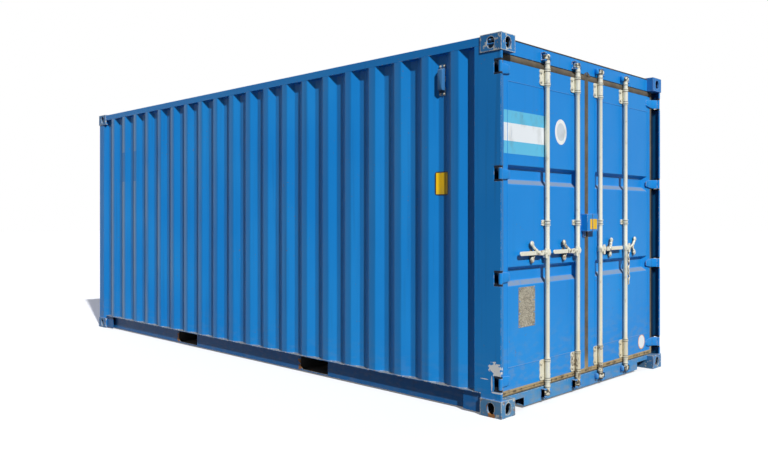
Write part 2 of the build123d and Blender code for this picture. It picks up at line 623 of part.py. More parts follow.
# Door leaves and all that rides on them
for side, out in SIDES.items():
    with BuildPart() as door_stiles:
        for y_low, y_high in ((Y_SEAM, Y_PANEL_SEAM), (Y_PANEL_HINGE, Y_LEAF)):
            tube_along_z(
                X_LEAF_BACK, X_LEAF, out * y_low, out * y_high, Z_LEAF_FOOT, Z_LEAF_TOP, LEAF_TUBE_WALL
            )
    save(door_stiles, f"{side}_door_stiles")

    with BuildPart() as door_rails:
        for z_low, z_high in ((Z_LEAF_FOOT, Z_PANEL_FOOT), (Z_PANEL_TOP, Z_LEAF_TOP)):
            tube_along_y(
                X_LEAF_BACK, X_LEAF, out * Y_PANEL_SEAM, out * Y_PANEL_HINGE, z_low, z_high, LEAF_TUBE_WALL
            )
    save(door_rails, f"{side}_door_rails")

    with BuildPart() as door_panel:
        block(X_LEAF - SHEET, X_LEAF, out * Y_PANEL_SEAM, out * Y_PANEL_HINGE, Z_PANEL_FOOT, Z_PANEL_TOP)
        y_middle = out * (Y_PANEL_SEAM + Y_PANEL_HINGE) / 2
        mouth = Y_PANEL_HINGE - Y_PANEL_SEAM - 2 * PANEL_RECESS_MARGIN
        floor = mouth - 2 * PANEL_RECESS_SLOPE
        for level in PANEL_RECESS_LEVELS:
            for skin, mode in ((SHEET, Mode.ADD), (0.0, Mode.SUBTRACT)):
                with BuildSketch(Plane((X_LEAF, y_middle, level), (0, 1, 0), (1, 0, 0))):
                    Rectangle(mouth + 2 * skin, PANEL_RECESS_HEIGHT + 2 * skin)
                with BuildSketch(
                    Plane((X_LEAF - PANEL_RECESS_DEPTH - skin, y_middle, level), (0, 1, 0), (1, 0, 0))
                ):
                    Rectangle(floor + 2 * skin, PANEL_RECESS_HEIGHT - 2 * PANEL_RECESS_SLOPE + 2 * skin)
                loft(mode=mode)
    save(door_panel, f"{side}_door_panel")

    with BuildPart() as door_gasket:
        x_front = X_LEAF - GASKET_SETBACK
        x_back = x_front - GASKET_DEPTH
        block(
            x_back,
            x_front,
            out * SEAM_CLEARANCE / 2,
            out * (Y_JAMB - FRAME_CLEARANCE),
            Z_POST_FOOT + FRAME_CLEARANCE,
            Z_POST_TOP - FRAME_CLEARANCE,
        )
        block(x_back, x_front, out * Y_SEAM, out * Y_LEAF, Z_LEAF_FOOT, Z_LEAF_TOP, Mode.SUBTRACT)
    save(door_gasket, f"{side}_door_gasket")

    with BuildPart() as hinge_blades:
        for hinge in HINGE_LEVELS:
            x_blade = X_LEAF + BLADE_THICKNESS
            y_tip = Y_LEAF - BLADE_LENGTH
            y_elbow = Y_PIN - BLADE_ELBOW
            arm = (
                (X_PIN + KNUCKLE_RADIUS / 3, Y_PIN - KNUCKLE_RADIUS * 2 / 3),
                (x_blade + BLADE_THICKNESS / 3, y_elbow - BLADE_THICKNESS),
                (x_blade, Y_LEAF),
                (x_blade, y_tip + BLADE_BEVEL),
                (X_LEAF, y_tip),
                (X_LEAF, y_elbow - BLADE_THICKNESS),
                (X_PIN - KNUCKLE_RADIUS * 0.85, Y_PIN),
            )
            with BuildSketch(Plane.XY.offset(hinge - KNUCKLE_HEIGHT / 2)):
                with BuildLine():
                    Polyline([(x, out * y) for x, y in arm], close=True)
                make_face()
                with Locations((X_PIN, out * Y_PIN)):
                    Circle(KNUCKLE_RADIUS)
                    Circle(HINGE_PIN_RADIUS + PIN_CLEARANCE, mode=Mode.SUBTRACT)
            extrude(amount=KNUCKLE_HEIGHT)
    save(hinge_blades, f"{side}_hinge_blades")

    with BuildPart() as bar_brackets:
        for offset in BAR_OFFSETS.values():
            z_clamp = MID_CLAMP_LEVEL - MID_CLAMP_HEIGHT / 2
            pillow_block(out * offset, BRACKET_WIDTH, Z_FOOT_BRACKET, FOOT_BRACKET_HEIGHT)
            pillow_block(out * offset, MID_CLAMP_WIDTH, z_clamp, MID_CLAMP_HEIGHT)
            pillow_block(out * offset, BRACKET_WIDTH, Z_TOP_BRACKET, TOP_BRACKET_HEIGHT)
    save(bar_brackets, f"{side}_bar_brackets")

    with BuildPart() as handle_catches:
        for offset in BAR_OFFSETS.values():
            y_catch = out * (offset + CATCH_OFFSET)
            with BuildSketch(Plane.YZ.offset(X_LEAF)):
                with Locations((y_catch, HANDLE_LEVEL)):
                    Rectangle(CATCH_PLATE_WIDTH, 2 * CATCH_LOBE_SPREAD)
            extrude(amount=CATCH_PLATE)
            ear = (y_catch, HANDLE_LEVEL + CATCH_LOBE_SPREAD)
            lobe = (y_catch, HANDLE_LEVEL - CATCH_LOBE_SPREAD)
            with BuildSketch(Plane.YZ.offset(X_LEAF)):
                with Locations(ear, lobe):
                    Circle(CATCH_LOBE_RADIUS)
            extrude(amount=CATCH_LOBE_THICKNESS)
            with BuildSketch(Plane.YZ.offset(X_LEAF)):
                with Locations(ear):
                    Circle(CATCH_HOLE_RADIUS)
            extrude(amount=CATCH_LOBE_THICKNESS, mode=Mode.SUBTRACT)
    save(handle_catches, f"{side}_handle_catches")

    with BuildPart() as lock_box_half:
        y_cut = out * SEAM_CLEARANCE / 2
        y_side = out * LOCK_BOX_WIDTH / 2
        z_lid = LOCK_BOX_LEVEL + LOCK_BOX_HEIGHT
        block(X_LEAF, X_LEAF + LOCK_BOX_DEPTH, y_cut, y_side, LOCK_BOX_LEVEL, z_lid)
        block(
            X_LEAF,
            X_LEAF + LOCK_BOX_DEPTH - LOCK_BOX_WALL,
            y_cut,
            y_side - out * LOCK_BOX_WALL,
            LOCK_BOX_LEVEL,
            z_lid - LOCK_BOX_WALL,
            Mode.SUBTRACT,
        )
    save(lock_box_half, f"{side}_lock_box_half")

    # Bars turn in the brackets, and each handle lifts about a pin in its bar's hub
    for place, offset in BAR_OFFSETS.items():
        y_bar = out * offset
        y_pin = y_bar + out * HUB_PIN_OFFSET
        z_low = Z_FOOT_CAM - CAM_HEIGHT / 2 - BAR_STUB
        z_high = Z_TOP_CAM + CAM_HEIGHT / 2 + BAR_STUB
        x_back = X_HANDLE - HANDLE_THICKNESS / 2 - HUB_SIDE_GAP - HUB_PLATE
        x_front = X_HANDLE + HANDLE_THICKNESS / 2 + HUB_SIDE_GAP
        with BuildPart() as bar:
            bar_disc(y_bar, BAR_RADIUS, z_low, z_high - z_low)
            for cam in (Z_FOOT_CAM, Z_TOP_CAM):
                bar_disc(y_bar, CAM_COLLAR_RADIUS, cam - CAM_HEIGHT / 2, CAM_HEIGHT)
                block(
                    X_BAR - CAM_NOSE_WIDTH / 2,
                    X_BAR + CAM_NOSE_WIDTH / 2,
                    y_bar,
                    y_bar + out * CAM_NOSE_REACH,
                    cam - CAM_HEIGHT / 2,
                    cam + CAM_HEIGHT / 2,
                )
            bar_disc(y_bar, RING_RADIUS, Z_RING, RING_HEIGHT)
            bar_disc(y_bar, RING_RADIUS, Z_TOP_BRACKET - RING_GAP - RING_HEIGHT, RING_HEIGHT)
            bar_disc(y_bar, HUB_RADIUS, HANDLE_LEVEL - HUB_HEIGHT / 2, HUB_HEIGHT)
            for x_plate in (x_back, x_front):
                with BuildSketch(Plane.YZ.offset(x_plate)):
                    with Locations((y_bar + out * HUB_PIN_OFFSET / 2, HANDLE_LEVEL)):
                        SlotCenterToCenter(HUB_PIN_OFFSET, HUB_PLATE_HEIGHT)
                extrude(amount=HUB_PLATE)
            with BuildSketch(Plane.YZ.offset(x_back)):
                with Locations((y_pin, HANDLE_LEVEL)):
                    Circle(HUB_PIN_RADIUS)
            extrude(amount=x_front + HUB_PLATE - x_back)
            bar_disc(y_bar, BAR_RADIUS - BAR_WALL, z_low, z_high - z_low, Mode.SUBTRACT)
        save(bar, f"{side}_{place}_bar")

        hangs = side == "right" and place == "outer"
        run = HANDLE_LENGTH - HANDLE_HEIGHT / 2
        middle = (y_pin, HANDLE_LEVEL - run / 2) if hangs else (y_pin + out * run / 2, HANDLE_LEVEL)
        with BuildPart() as handle:
            with BuildSketch(Plane.YZ.offset(X_HANDLE - HANDLE_THICKNESS / 2)):
                with Locations(middle):
                    SlotCenterToCenter(run, HANDLE_HEIGHT, rotation=90 if hangs else 0)
                with Locations((y_pin, HANDLE_LEVEL)):
                    Circle(HUB_PIN_RADIUS + PIN_CLEARANCE, mode=Mode.SUBTRACT)
            extrude(amount=HANDLE_THICKNESS)
        save(handle, f"{side}_{place}_handle")

# Data plate on the left door
with BuildPart() as data_plate:
    y_plate = Y_LEAF - PLATE_FROM_HINGE_EDGE
    block(
        X_LEAF,
        X_LEAF + PLATE_THICKNESS,
        SIDES["left"] * y_plate,
        SIDES["left"] * (y_plate - PLATE_WIDTH),
        PLATE_LEVEL,
        PLATE_LEVEL + PLATE_HEIGHT,
    )
save(data_plate, "data_plate")
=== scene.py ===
"""Looks of a twenty foot freight container: folded sheets, seals, lock gear, fasteners, welds and finishes.

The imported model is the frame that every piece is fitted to. Lengths are in metres. X runs towards the doors,
Z runs up, left is -Y and right is +Y, as seen by someone who faces the doors.
"""

import logging
import math
from dataclasses import dataclass, field
from enum import Enum
from typing import Mapping, Optional, Sequence, Union

import bmesh
import bpy
import numpy as np
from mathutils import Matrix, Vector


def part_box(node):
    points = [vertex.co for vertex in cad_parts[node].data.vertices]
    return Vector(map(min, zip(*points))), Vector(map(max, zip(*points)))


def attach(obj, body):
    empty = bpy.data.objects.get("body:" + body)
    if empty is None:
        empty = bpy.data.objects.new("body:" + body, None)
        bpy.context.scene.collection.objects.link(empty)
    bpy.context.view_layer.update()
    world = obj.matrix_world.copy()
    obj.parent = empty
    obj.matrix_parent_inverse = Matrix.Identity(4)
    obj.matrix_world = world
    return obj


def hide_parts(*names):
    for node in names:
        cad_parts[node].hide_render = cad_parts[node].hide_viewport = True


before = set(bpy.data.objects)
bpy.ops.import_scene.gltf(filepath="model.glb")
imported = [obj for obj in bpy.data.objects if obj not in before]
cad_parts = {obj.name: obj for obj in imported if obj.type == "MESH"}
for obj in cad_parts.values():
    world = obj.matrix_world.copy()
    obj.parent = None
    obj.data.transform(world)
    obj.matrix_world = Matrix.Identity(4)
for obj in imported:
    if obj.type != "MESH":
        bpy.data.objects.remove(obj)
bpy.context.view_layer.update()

LOG = logging.getLogger("container")

Pair = tuple[float, float]
Colour = tuple[float, float, float]
Point = tuple[float, float, float]
Spot = Union[Point, np.ndarray]
Socket = bpy.types.NodeSocket
Value = Union[float, Colour, Socket]

BOX_BODY = "container_box"
X_AXIS = np.array([1.0, 0.0, 0.0])
Y_AXIS = np.array([0.0, 1.0, 0.0])
Z_AXIS = np.array([0.0, 0.0, 1.0])
SAME_POINT = 1e-6
NODE_WELD = 1e-5
CREASE_ANGLE = math.radians(40.0)
FLAT_ANGLE = math.radians(1.0)
EDGE_ANGLE = math.radians(35.0)
SHEET_WAVES = 0.0006


class Side(Enum):
    """The two long sides and their doors, with the sign of Y that points out of each."""

    LEFT = ("left", -1.0)
    RIGHT = ("right", 1.0)

    @property
    def out(self) -> float:
        """Sign of Y outwards."""
        return self.value[1]

    @property
    def door(self) -> str:
        """Name of the door's body."""
        return self.own("door")

    @property
    def mirror(self) -> np.ndarray:
        """Factors that take a point of the right side to this one."""
        return np.array([1.0, self.out, 1.0])

    def own(self, piece: str) -> str:
        """Name of a piece on this side."""
        return f"{self.value[0]}_{piece}"


class Slot(Enum):
    """Names of material slots of the record."""

    PAINT = "blue_paint"
    ZINC = "galvanised_steel"
    RUBBER = "seal_rubber"
    UNDERSEAL = "underframe_paint"


class Ends(Enum):
    """How the two ends of a skin are closed."""

    FLAT = "one flat face"
    STRIP = "a strip between the two faces of a sheet"


def srgb(red: int, green: int, blue: int) -> Colour:
    """A screen colour in linear values, by the usual power curve on each channel.

    Args:
        red: Red from 0 to 255.
        green: Green from 0 to 255.
        blue: Blue from 0 to 255.

    Returns:
        The three linear values.
    """
    channel = np.array([red, green, blue]) / 255.0
    linear = np.where(channel <= 0.04045, channel / 12.92, ((channel + 0.055) / 1.055) ** 2.4)
    return tuple(float(value) for value in linear)


def box_of(node: str) -> tuple[np.ndarray, np.ndarray]:
    """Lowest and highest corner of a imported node."""
    low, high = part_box(node)
    return np.array(low), np.array(high)


def angles(steps: int) -> np.ndarray:
    """Evenly spaced angles of a full turn."""
    return np.linspace(0.0, 2 * math.pi, steps, endpoint=False)


def grid_of(*axes: Sequence[float]) -> np.ndarray:
    """Every point that takes one value from each list, one row each."""
    return np.stack(np.meshgrid(*axes, indexing="ij"), axis=-1).reshape(-1, len(axes))


def bend(s: np.ndarray, start: np.ndarray, corner: np.ndarray, stop: np.ndarray) -> np.ndarray:
    """Curve from start to stop that a corner pulls at: (1-s)^2 start + 2s(1-s) corner + s^2 stop."""
    return (1 - s) ** 2 * start + 2 * s * (1 - s) * corner + s**2 * stop


def circles(radius: np.ndarray, height: np.ndarray, turn: np.ndarray, axis: Pair = (0.0, 0.0)) -> np.ndarray:
    """Points round an upright axis: axis + radius (cos turn, sin turn), at the height."""
    spots = np.broadcast_arrays(axis[0] + radius * np.cos(turn), axis[1] + radius * np.sin(turn), height)
    return np.stack(spots, axis=-1)


@dataclass
class Surface:
    """Points and faces of a mesh, before it becomes a piece.

    Attributes:
        points: Places of the vertices, one row each.
        faces: Corner numbers, one array for each number of corners.
        marks: Values at the vertices that a finish reads, by name.
    """

    points: np.ndarray
    faces: list[np.ndarray]
    marks: dict[str, np.ndarray] = field(default_factory=dict)

    @staticmethod
    def joined(parts: Sequence["Surface"]) -> "Surface":
        """Several surfaces as one, with the corner numbers of each moved past those before it.

        Args:
            parts: Surfaces that hold the same marks.

        Returns:
            The one surface.
        """
        starts = np.cumsum([0] + [len(part.points) for part in parts[:-1]])
        faces = [block + start for part, start in zip(parts, starts) for block in part.faces]
        marks = {name: np.concatenate([part.marks[name] for part in parts]) for name in parts[0].marks}
        return Surface(np.concatenate([part.points for part in parts]), faces, marks)

    def copies(self, places: np.ndarray, axis: np.ndarray) -> "Surface":
        """Copies of a shape that stands on the XY plane, each turned so that its Z lies along an axis.

        The point of a copy is its place plus x, y and z times three directions at right angles.

        Args:
            places: One place for each copy.
            axis: Unit direction that Z is turned to.

        Returns:
            All copies as one surface.
        """
        first = np.cross(axis, X_AXIS if abs(axis[0]) < 0.9 else Y_AXIS)
        first = first / np.linalg.norm(first)
        turned_points = self.points @ np.stack([first, np.cross(axis, first), axis])
        points = places[:, None, :] + turned_points[None, :, :]
        steps = np.arange(len(places)) * len(self.points)
        faces = [(block[None] + steps[:, None, None]).reshape(-1, block.shape[1]) for block in self.faces]
        return Surface(points.reshape(-1, 3), faces)


def grid_faces(rows: int, columns: int, loop: bool) -> np.ndarray:
    """Quads of a grid whose columns close into a ring, and whose rows close into a loop on demand.

    Args:
        rows: Number of sections.
        columns: Points in each section.
        loop: Whether the last section joins the first.

    Returns:
        Four corner numbers for each quad.
    """
    row = np.arange(rows if loop else rows - 1)[:, None]
    column = np.arange(columns)[None, :]
    next_row = (row + 1) % rows
    next_column = (column + 1) % columns
    corners = (
        row * columns + column,
        row * columns + next_column,
        next_row * columns + next_column,
        next_row * columns + column,
    )
    return np.stack(np.broadcast_arrays(*corners), axis=-1).reshape(-1, 4)


def loft(sections: np.ndarray, ends: Ends = Ends.FLAT, loop: bool = False) -> Surface:
    """Skin over closed sections: the point is a function of the section's number and the place along it.

    Args:
        sections: Points by section and by place along the section.
        ends: How the first and last section are closed.
        loop: Whether the last section joins the first, which leaves no ends.

    Returns:
        The closed surface.
    """
    rows, columns = sections.shape[:2]
    faces = [grid_faces(rows, columns, loop)]
    if not loop:
        last = (rows - 1) * columns
        if ends is Ends.FLAT:
            ring = np.arange(columns)
            faces.append(np.stack([ring, ring + last]))
        else:
            step = np.arange(columns // 2 - 1)
            strip = np.stack([step, step + 1, columns - 2 - step, columns - 1 - step], axis=-1)
            faces.append(np.concatenate([strip, strip + last]))
    return Surface(sections.reshape(-1, 3), faces)


def make_piece(
    name: str,
    surface: Surface,
    body: str,
    finish: bpy.types.Material,
    stands_for: Sequence[str] = (),
) -> None:
    """Makes a piece from a surface: merged, turned outwards, shaded, dressed and fixed to a body.

    Args:
        name: Name of the piece.
        surface: Its closed shape, in place.
        body: Body that carries it.
        finish: Its material.
        stands_for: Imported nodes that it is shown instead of.
    """
    mesh = bpy.data.meshes.new(name)
    corners = [face for block in surface.faces for face in block.tolist()]
    mesh.from_pydata(surface.points.tolist(), [], corners)
    for mark, values in surface.marks.items():
        layer = mesh.attributes.new(mark, "FLOAT", "POINT")
        layer.data.foreach_set("value", values.astype(np.float32))
    work = bmesh.new()
    work.from_mesh(mesh)
    bmesh.ops.remove_doubles(work, verts=work.verts, dist=SAME_POINT)
    bmesh.ops.recalc_face_normals(work, faces=work.faces)
    work.to_mesh(mesh)
    work.free()
    mesh.polygons.foreach_set("use_smooth", np.ones(len(mesh.polygons), dtype=bool))
    mesh.set_sharp_from_angle(angle=CREASE_ANGLE)
    mesh.materials.append(finish)
    piece = bpy.data.objects.new(name, mesh)
    bpy.context.scene.collection.objects.link(piece)
    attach(piece, body)
    if stands_for:
        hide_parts(*stands_for)
    LOG.info("piece %s: %d faces", name, len(mesh.polygons))


def dress(node: str, finish: bpy.types.Material, rounding: float, steps: int = 2) -> None:
    """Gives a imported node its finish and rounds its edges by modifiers, so that its mesh stays as it is.

    Args:
        node: Name of the node.
        finish: Its material.
        rounding: Width of the rounded edges.
        steps: Faces across a rounded edge.
    """
    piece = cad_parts[node]
    piece.data.materials.clear()
    piece.data.materials.append(finish)
    weld = piece.modifiers.new("weld", "WELD")
    weld.merge_threshold = NODE_WELD
    flat = piece.modifiers.new("flat", "DECIMATE")
    flat.decimate_type = "DISSOLVE"
    flat.angle_limit = FLAT_ANGLE
    edges = piece.modifiers.new("edges", "BEVEL")
    edges.width = rounding
    edges.segments = steps
    edges.limit_method = "ANGLE"
    edges.angle_limit = EDGE_ANGLE
    edges.harden_normals = True
    LOG.info("node %s dressed", node)


def rounded_line(points: np.ndarray, reach: float, steps: int = 4) -> np.ndarray:
    """A broken line with each inner corner bent into a curve between two points on its legs.

    Args:
        points: Corners of the line.
        reach: Length of each leg that the bend takes.
        steps: Segments in a bend.

    Returns:
        Points of the bent line, with both ends kept.
    """
    corner = points[1:-1]
    back = points[:-2] - corner
    ahead = points[2:] - corner
    start = corner + back * (reach / np.linalg.norm(back, axis=1))[:, None]
    stop = corner + ahead * (reach / np.linalg.norm(ahead, axis=1))[:, None]
    s = np.linspace(0.0, 1.0, steps + 1)[None, :, None]
    bends = bend(s, start[:, None], corner[:, None], stop[:, None])
    return np.concatenate([points[:1], bends.reshape(-1, 2), points[-1:]])


def rounded_rectangle(width: float, height: float, radius: float, steps: int = 5) -> np.ndarray:
    """Outline of a rectangle about the origin: each corner's centre plus the radius times (cos, sin).

    Args:
        width: Full width.
        height: Full height.
        radius: Radius of the corners.
        steps: Points on each corner.

    Returns:
        Points of the outline, in turn.
    """
    signs = np.array([[1, 1], [-1, 1], [-1, -1], [1, -1]])
    centres = signs * np.array([width / 2 - radius, height / 2 - radius])
    turn = np.linspace(0.0, math.pi / 2, steps)[None, :] + np.arange(4)[:, None] * math.pi / 2
    arcs = centres[:, None, :] + radius * np.stack([np.cos(turn), np.sin(turn)], axis=-1)
    return arcs.reshape(-1, 2)


def oval(width: float, height: float, steps: int = 48) -> np.ndarray:
    """Outline of an oval about the origin: half the width times cos and half the height times sin."""
    turn = angles(steps)
    return np.stack([width / 2 * np.cos(turn), height / 2 * np.sin(turn)], axis=-1)


def slab(outline: np.ndarray, place: Spot, right: np.ndarray, up: np.ndarray, thickness: float) -> Surface:
    """Plate of an outline: place + u right + v up, once on its foot and once raised by the thickness.

    Args:
        outline: Flat outline, as u and v.
        place: Where the outline's origin lies.
        right: Unit direction of u.
        up: Unit direction of v.
        thickness: Height along right x up.

    Returns:
        The closed plate.
    """
    foot = np.array(place) + outline[:, :1] * right + outline[:, 1:] * up
    return loft(np.stack([foot, foot + thickness * np.cross(right, up)]))


def tube(path: np.ndarray, side: np.ndarray, radius: float, columns: int = 10) -> Surface:
    """Round rod along a flat path: path + radius (cos a side + sin a normal), the normal in its plane.

    Args:
        path: Points of the path.
        side: Unit direction at right angles to the path's plane.
        radius: Radius of the rod.
        columns: Points round it.

    Returns:
        The closed rod.
    """
    normal = np.cross(side, np.gradient(path, axis=0))
    normal = normal / np.linalg.norm(normal, axis=1)[:, None]
    turn = angles(columns)[None, :, None]
    return loft(path[:, None] + radius * (np.cos(turn) * side + np.sin(turn) * normal[:, None]))


def bead(start: Point, stop: Point, up: np.ndarray, radius: float, ripple: float = 0.011) -> Surface:
    """Weld bead on a line: a half circle across it, whose radius swells by sin(2 pi s / ripple).

    Args:
        start: One end.
        stop: Other end.
        up: Unit direction away from the metal.
        radius: Mean radius of the half circle.
        ripple: Length of one swelling.

    Returns:
        The closed bead.
    """
    first, last = np.array(start), np.array(stop)
    length = float(np.linalg.norm(last - first))
    s = np.linspace(0.0, length, max(4, int(length / ripple * 3)))[:, None, None]
    along = (last - first) / length
    swell = radius * (1 + 0.16 * np.sin(2 * math.pi * s / ripple) + 0.1 * np.sin(17.0 * s))
    turn = np.linspace(0.0, math.pi, 6)[None, :, None]
    return loft(first + s * along + swell * (np.cos(turn) * np.cross(up, along) + np.sin(turn) * up))


def hex_bolt(radius: float, height: float) -> Surface:
    """Bolt head with its washer, on Z: rings of radius r(a), round or with six flats, at rising heights.

    A ring with flats has r(a) = radius cos 30 / cos b, with b the angle from the nearest flat's middle.

    Args:
        radius: Radius to the corners of the head.
        height: Full height.

    Returns:
        The closed shape.
    """
    turn = angles(12)
    flats = math.cos(math.pi / 6) / np.cos(np.mod(turn, math.pi / 3) - math.pi / 6)
    even = np.ones_like(turn)
    reach = radius * np.stack([1.4 * even, 1.4 * even, flats, flats, 0.8 * even])
    rise = height * np.array([0.0, 0.18, 0.18, 0.82, 1.0])[:, None]
    return loft(circles(reach, rise, turn))


def rivet(radius: float, height: float) -> Surface:
    """Low round head on Z: rings of eight points that shrink as they rise.

    Args:
        radius: Radius at the foot.
        height: Height of the head.

    Returns:
        The closed shape.
    """
    reach = radius * np.array([1.0, 0.85, 0.45])[:, None]
    rise = height * np.array([0.0, 0.6, 1.0])[:, None]
    return loft(circles(reach, rise, angles(8)))


def egg(middle: np.ndarray, reach: Point, root: float = 1.0, grid: tuple[int, int] = (14, 10)) -> Surface:
    """Egg shape: middle + reach times (cos a cos b, sin a cos b, sin b), each of the three under a root.

    Args:
        middle: Its middle.
        reach: Half sizes along the axes.
        root: Power of the three values, less than 1 for a shape that is nearly a block.
        grid: Steps of a and of b.

    Returns:
        The closed shape.
    """
    b = np.linspace(-0.49 * math.pi, 0.49 * math.pi, grid[1])[:, None]
    ball = circles(np.cos(b), np.sin(b), angles(grid[0])[None, :])
    return loft(middle + np.sign(ball) * np.abs(ball) ** root * np.array(reach))


def turned(profile: np.ndarray, axis: Pair, steps: int = 24) -> Surface:
    """Ring turned about an upright axis: a circle of radius r at the height z for each pair of a profile.

    Args:
        profile: Closed profile, as radius and height.
        axis: Place of the axis along X and Y.
        steps: Sections round the axis.

    Returns:
        The closed ring.
    """
    return loft(circles(profile[None, :, 0], profile[None, :, 1], angles(steps)[:, None], axis), loop=True)


def sheet_skin(
    along: np.ndarray,
    across: np.ndarray,
    inward: np.ndarray,
    axes: np.ndarray,
    origin: Spot,
    thickness: float,
) -> Surface:
    """Sheet of even thickness: origin + along A + inward B + across C, and again a thickness deeper.

    Args:
        along: Places along the folds' run.
        across: Places along the folds.
        inward: Depth for each place across, by row, and along, by column.
        axes: The directions A, B and C as rows.
        origin: Where all three are 0.
        thickness: Thickness of the sheet, along B.

    Returns:
        The closed sheet.
    """
    deep = np.broadcast_to(inward, (len(across), len(along)))
    ring_along = np.concatenate([along, along[::-1]])[None, :, None]
    ring_deep = np.concatenate([deep, deep[:, ::-1] + thickness], axis=1)[:, :, None]
    spot = np.array(origin) + ring_along * axes[0] + ring_deep * axes[1]
    return loft(spot + across[:, None, None] * axes[2], Ends.STRIP)


class Graph:
    """A node tree, with short calls for the nodes that the finishes, the floor and the sky share."""

    def __init__(self, tree: bpy.types.NodeTree) -> None:
        """Keeps the tree."""
        self.tree = tree

    def node(
        self, kind: str, inputs: Optional[Mapping[Union[str, int], Value]] = None, **choices: object
    ) -> bpy.types.Node:
        """Adds a node.

        Args:
            kind: Its type.
            inputs: Values or links for its inputs, by name or number.
            choices: Its settings, by name.

        Returns:
            The node.
        """
        made = self.tree.nodes.new(kind)
        for name, choice in choices.items():
            setattr(made, name, choice)
        for key, value in (inputs or {}).items():
            self.put(made.inputs[key], value)
        return made

    def put(self, target: Socket, value: Value) -> None:
        """Links a socket to the target, or sets a constant on the target itself.

        Args:
            target: Input of a node.
            value: Number, colour, vector or output of another node.
        """
        if isinstance(value, bpy.types.NodeSocket):
            self.tree.links.new(value, target)
        elif isinstance(value, tuple):
            target.default_value = (*value, 1.0) if target.type == "RGBA" else value
        else:
            target.default_value = value

    def calc(self, kind: str, first: Value, second: Value = 0.0) -> Socket:
        """One step of arithmetic."""
        return self.node("ShaderNodeMath", {0: first, 1: second}, operation=kind).outputs[0]

    def vector(self, kind: str, first: Value, second: Value = (0.0, 0.0, 0.0)) -> bpy.types.Node:
        """One step of vector arithmetic."""
        return self.node("ShaderNodeVectorMath", {0: first, 1: second}, operation=kind)

    def times(self, *values: Value) -> Value:
        """Product of all values.

        Args:
            values: One or more factors.

        Returns:
            The product.
        """
        total = values[0]
        for value in values[1:]:
            total = self.calc("MULTIPLY", total, value)
        return total

    def band(self, value: Value, low: float, high: float) -> Socket:
        """0 at low, 1 at high and a smooth rise between, also where low is the larger one."""
        ramp = dict(enumerate((value, low, high, 0.0, 1.0)))
        return self.node("ShaderNodeMapRange", ramp, interpolation_type="SMOOTHSTEP").outputs[0]

    def mix(self, factor: Value, first: Value, second: Value) -> Socket:
        """Mixes two colours."""
        return self.node("ShaderNodeMix", {0: factor, 6: first, 7: second}, data_type="RGBA").outputs[2]

    def seen(self) -> Socket:
        """1 for rays from the eye, straight, mirrored or through glass.

        Returns:
            The value.
        """
        path = self.node("ShaderNodeLightPath").outputs
        direct = self.calc("MAXIMUM", path["Is Camera Ray"], path["Is Glossy Ray"])
        return self.calc("MAXIMUM", direct, path["Is Transmission Ray"])


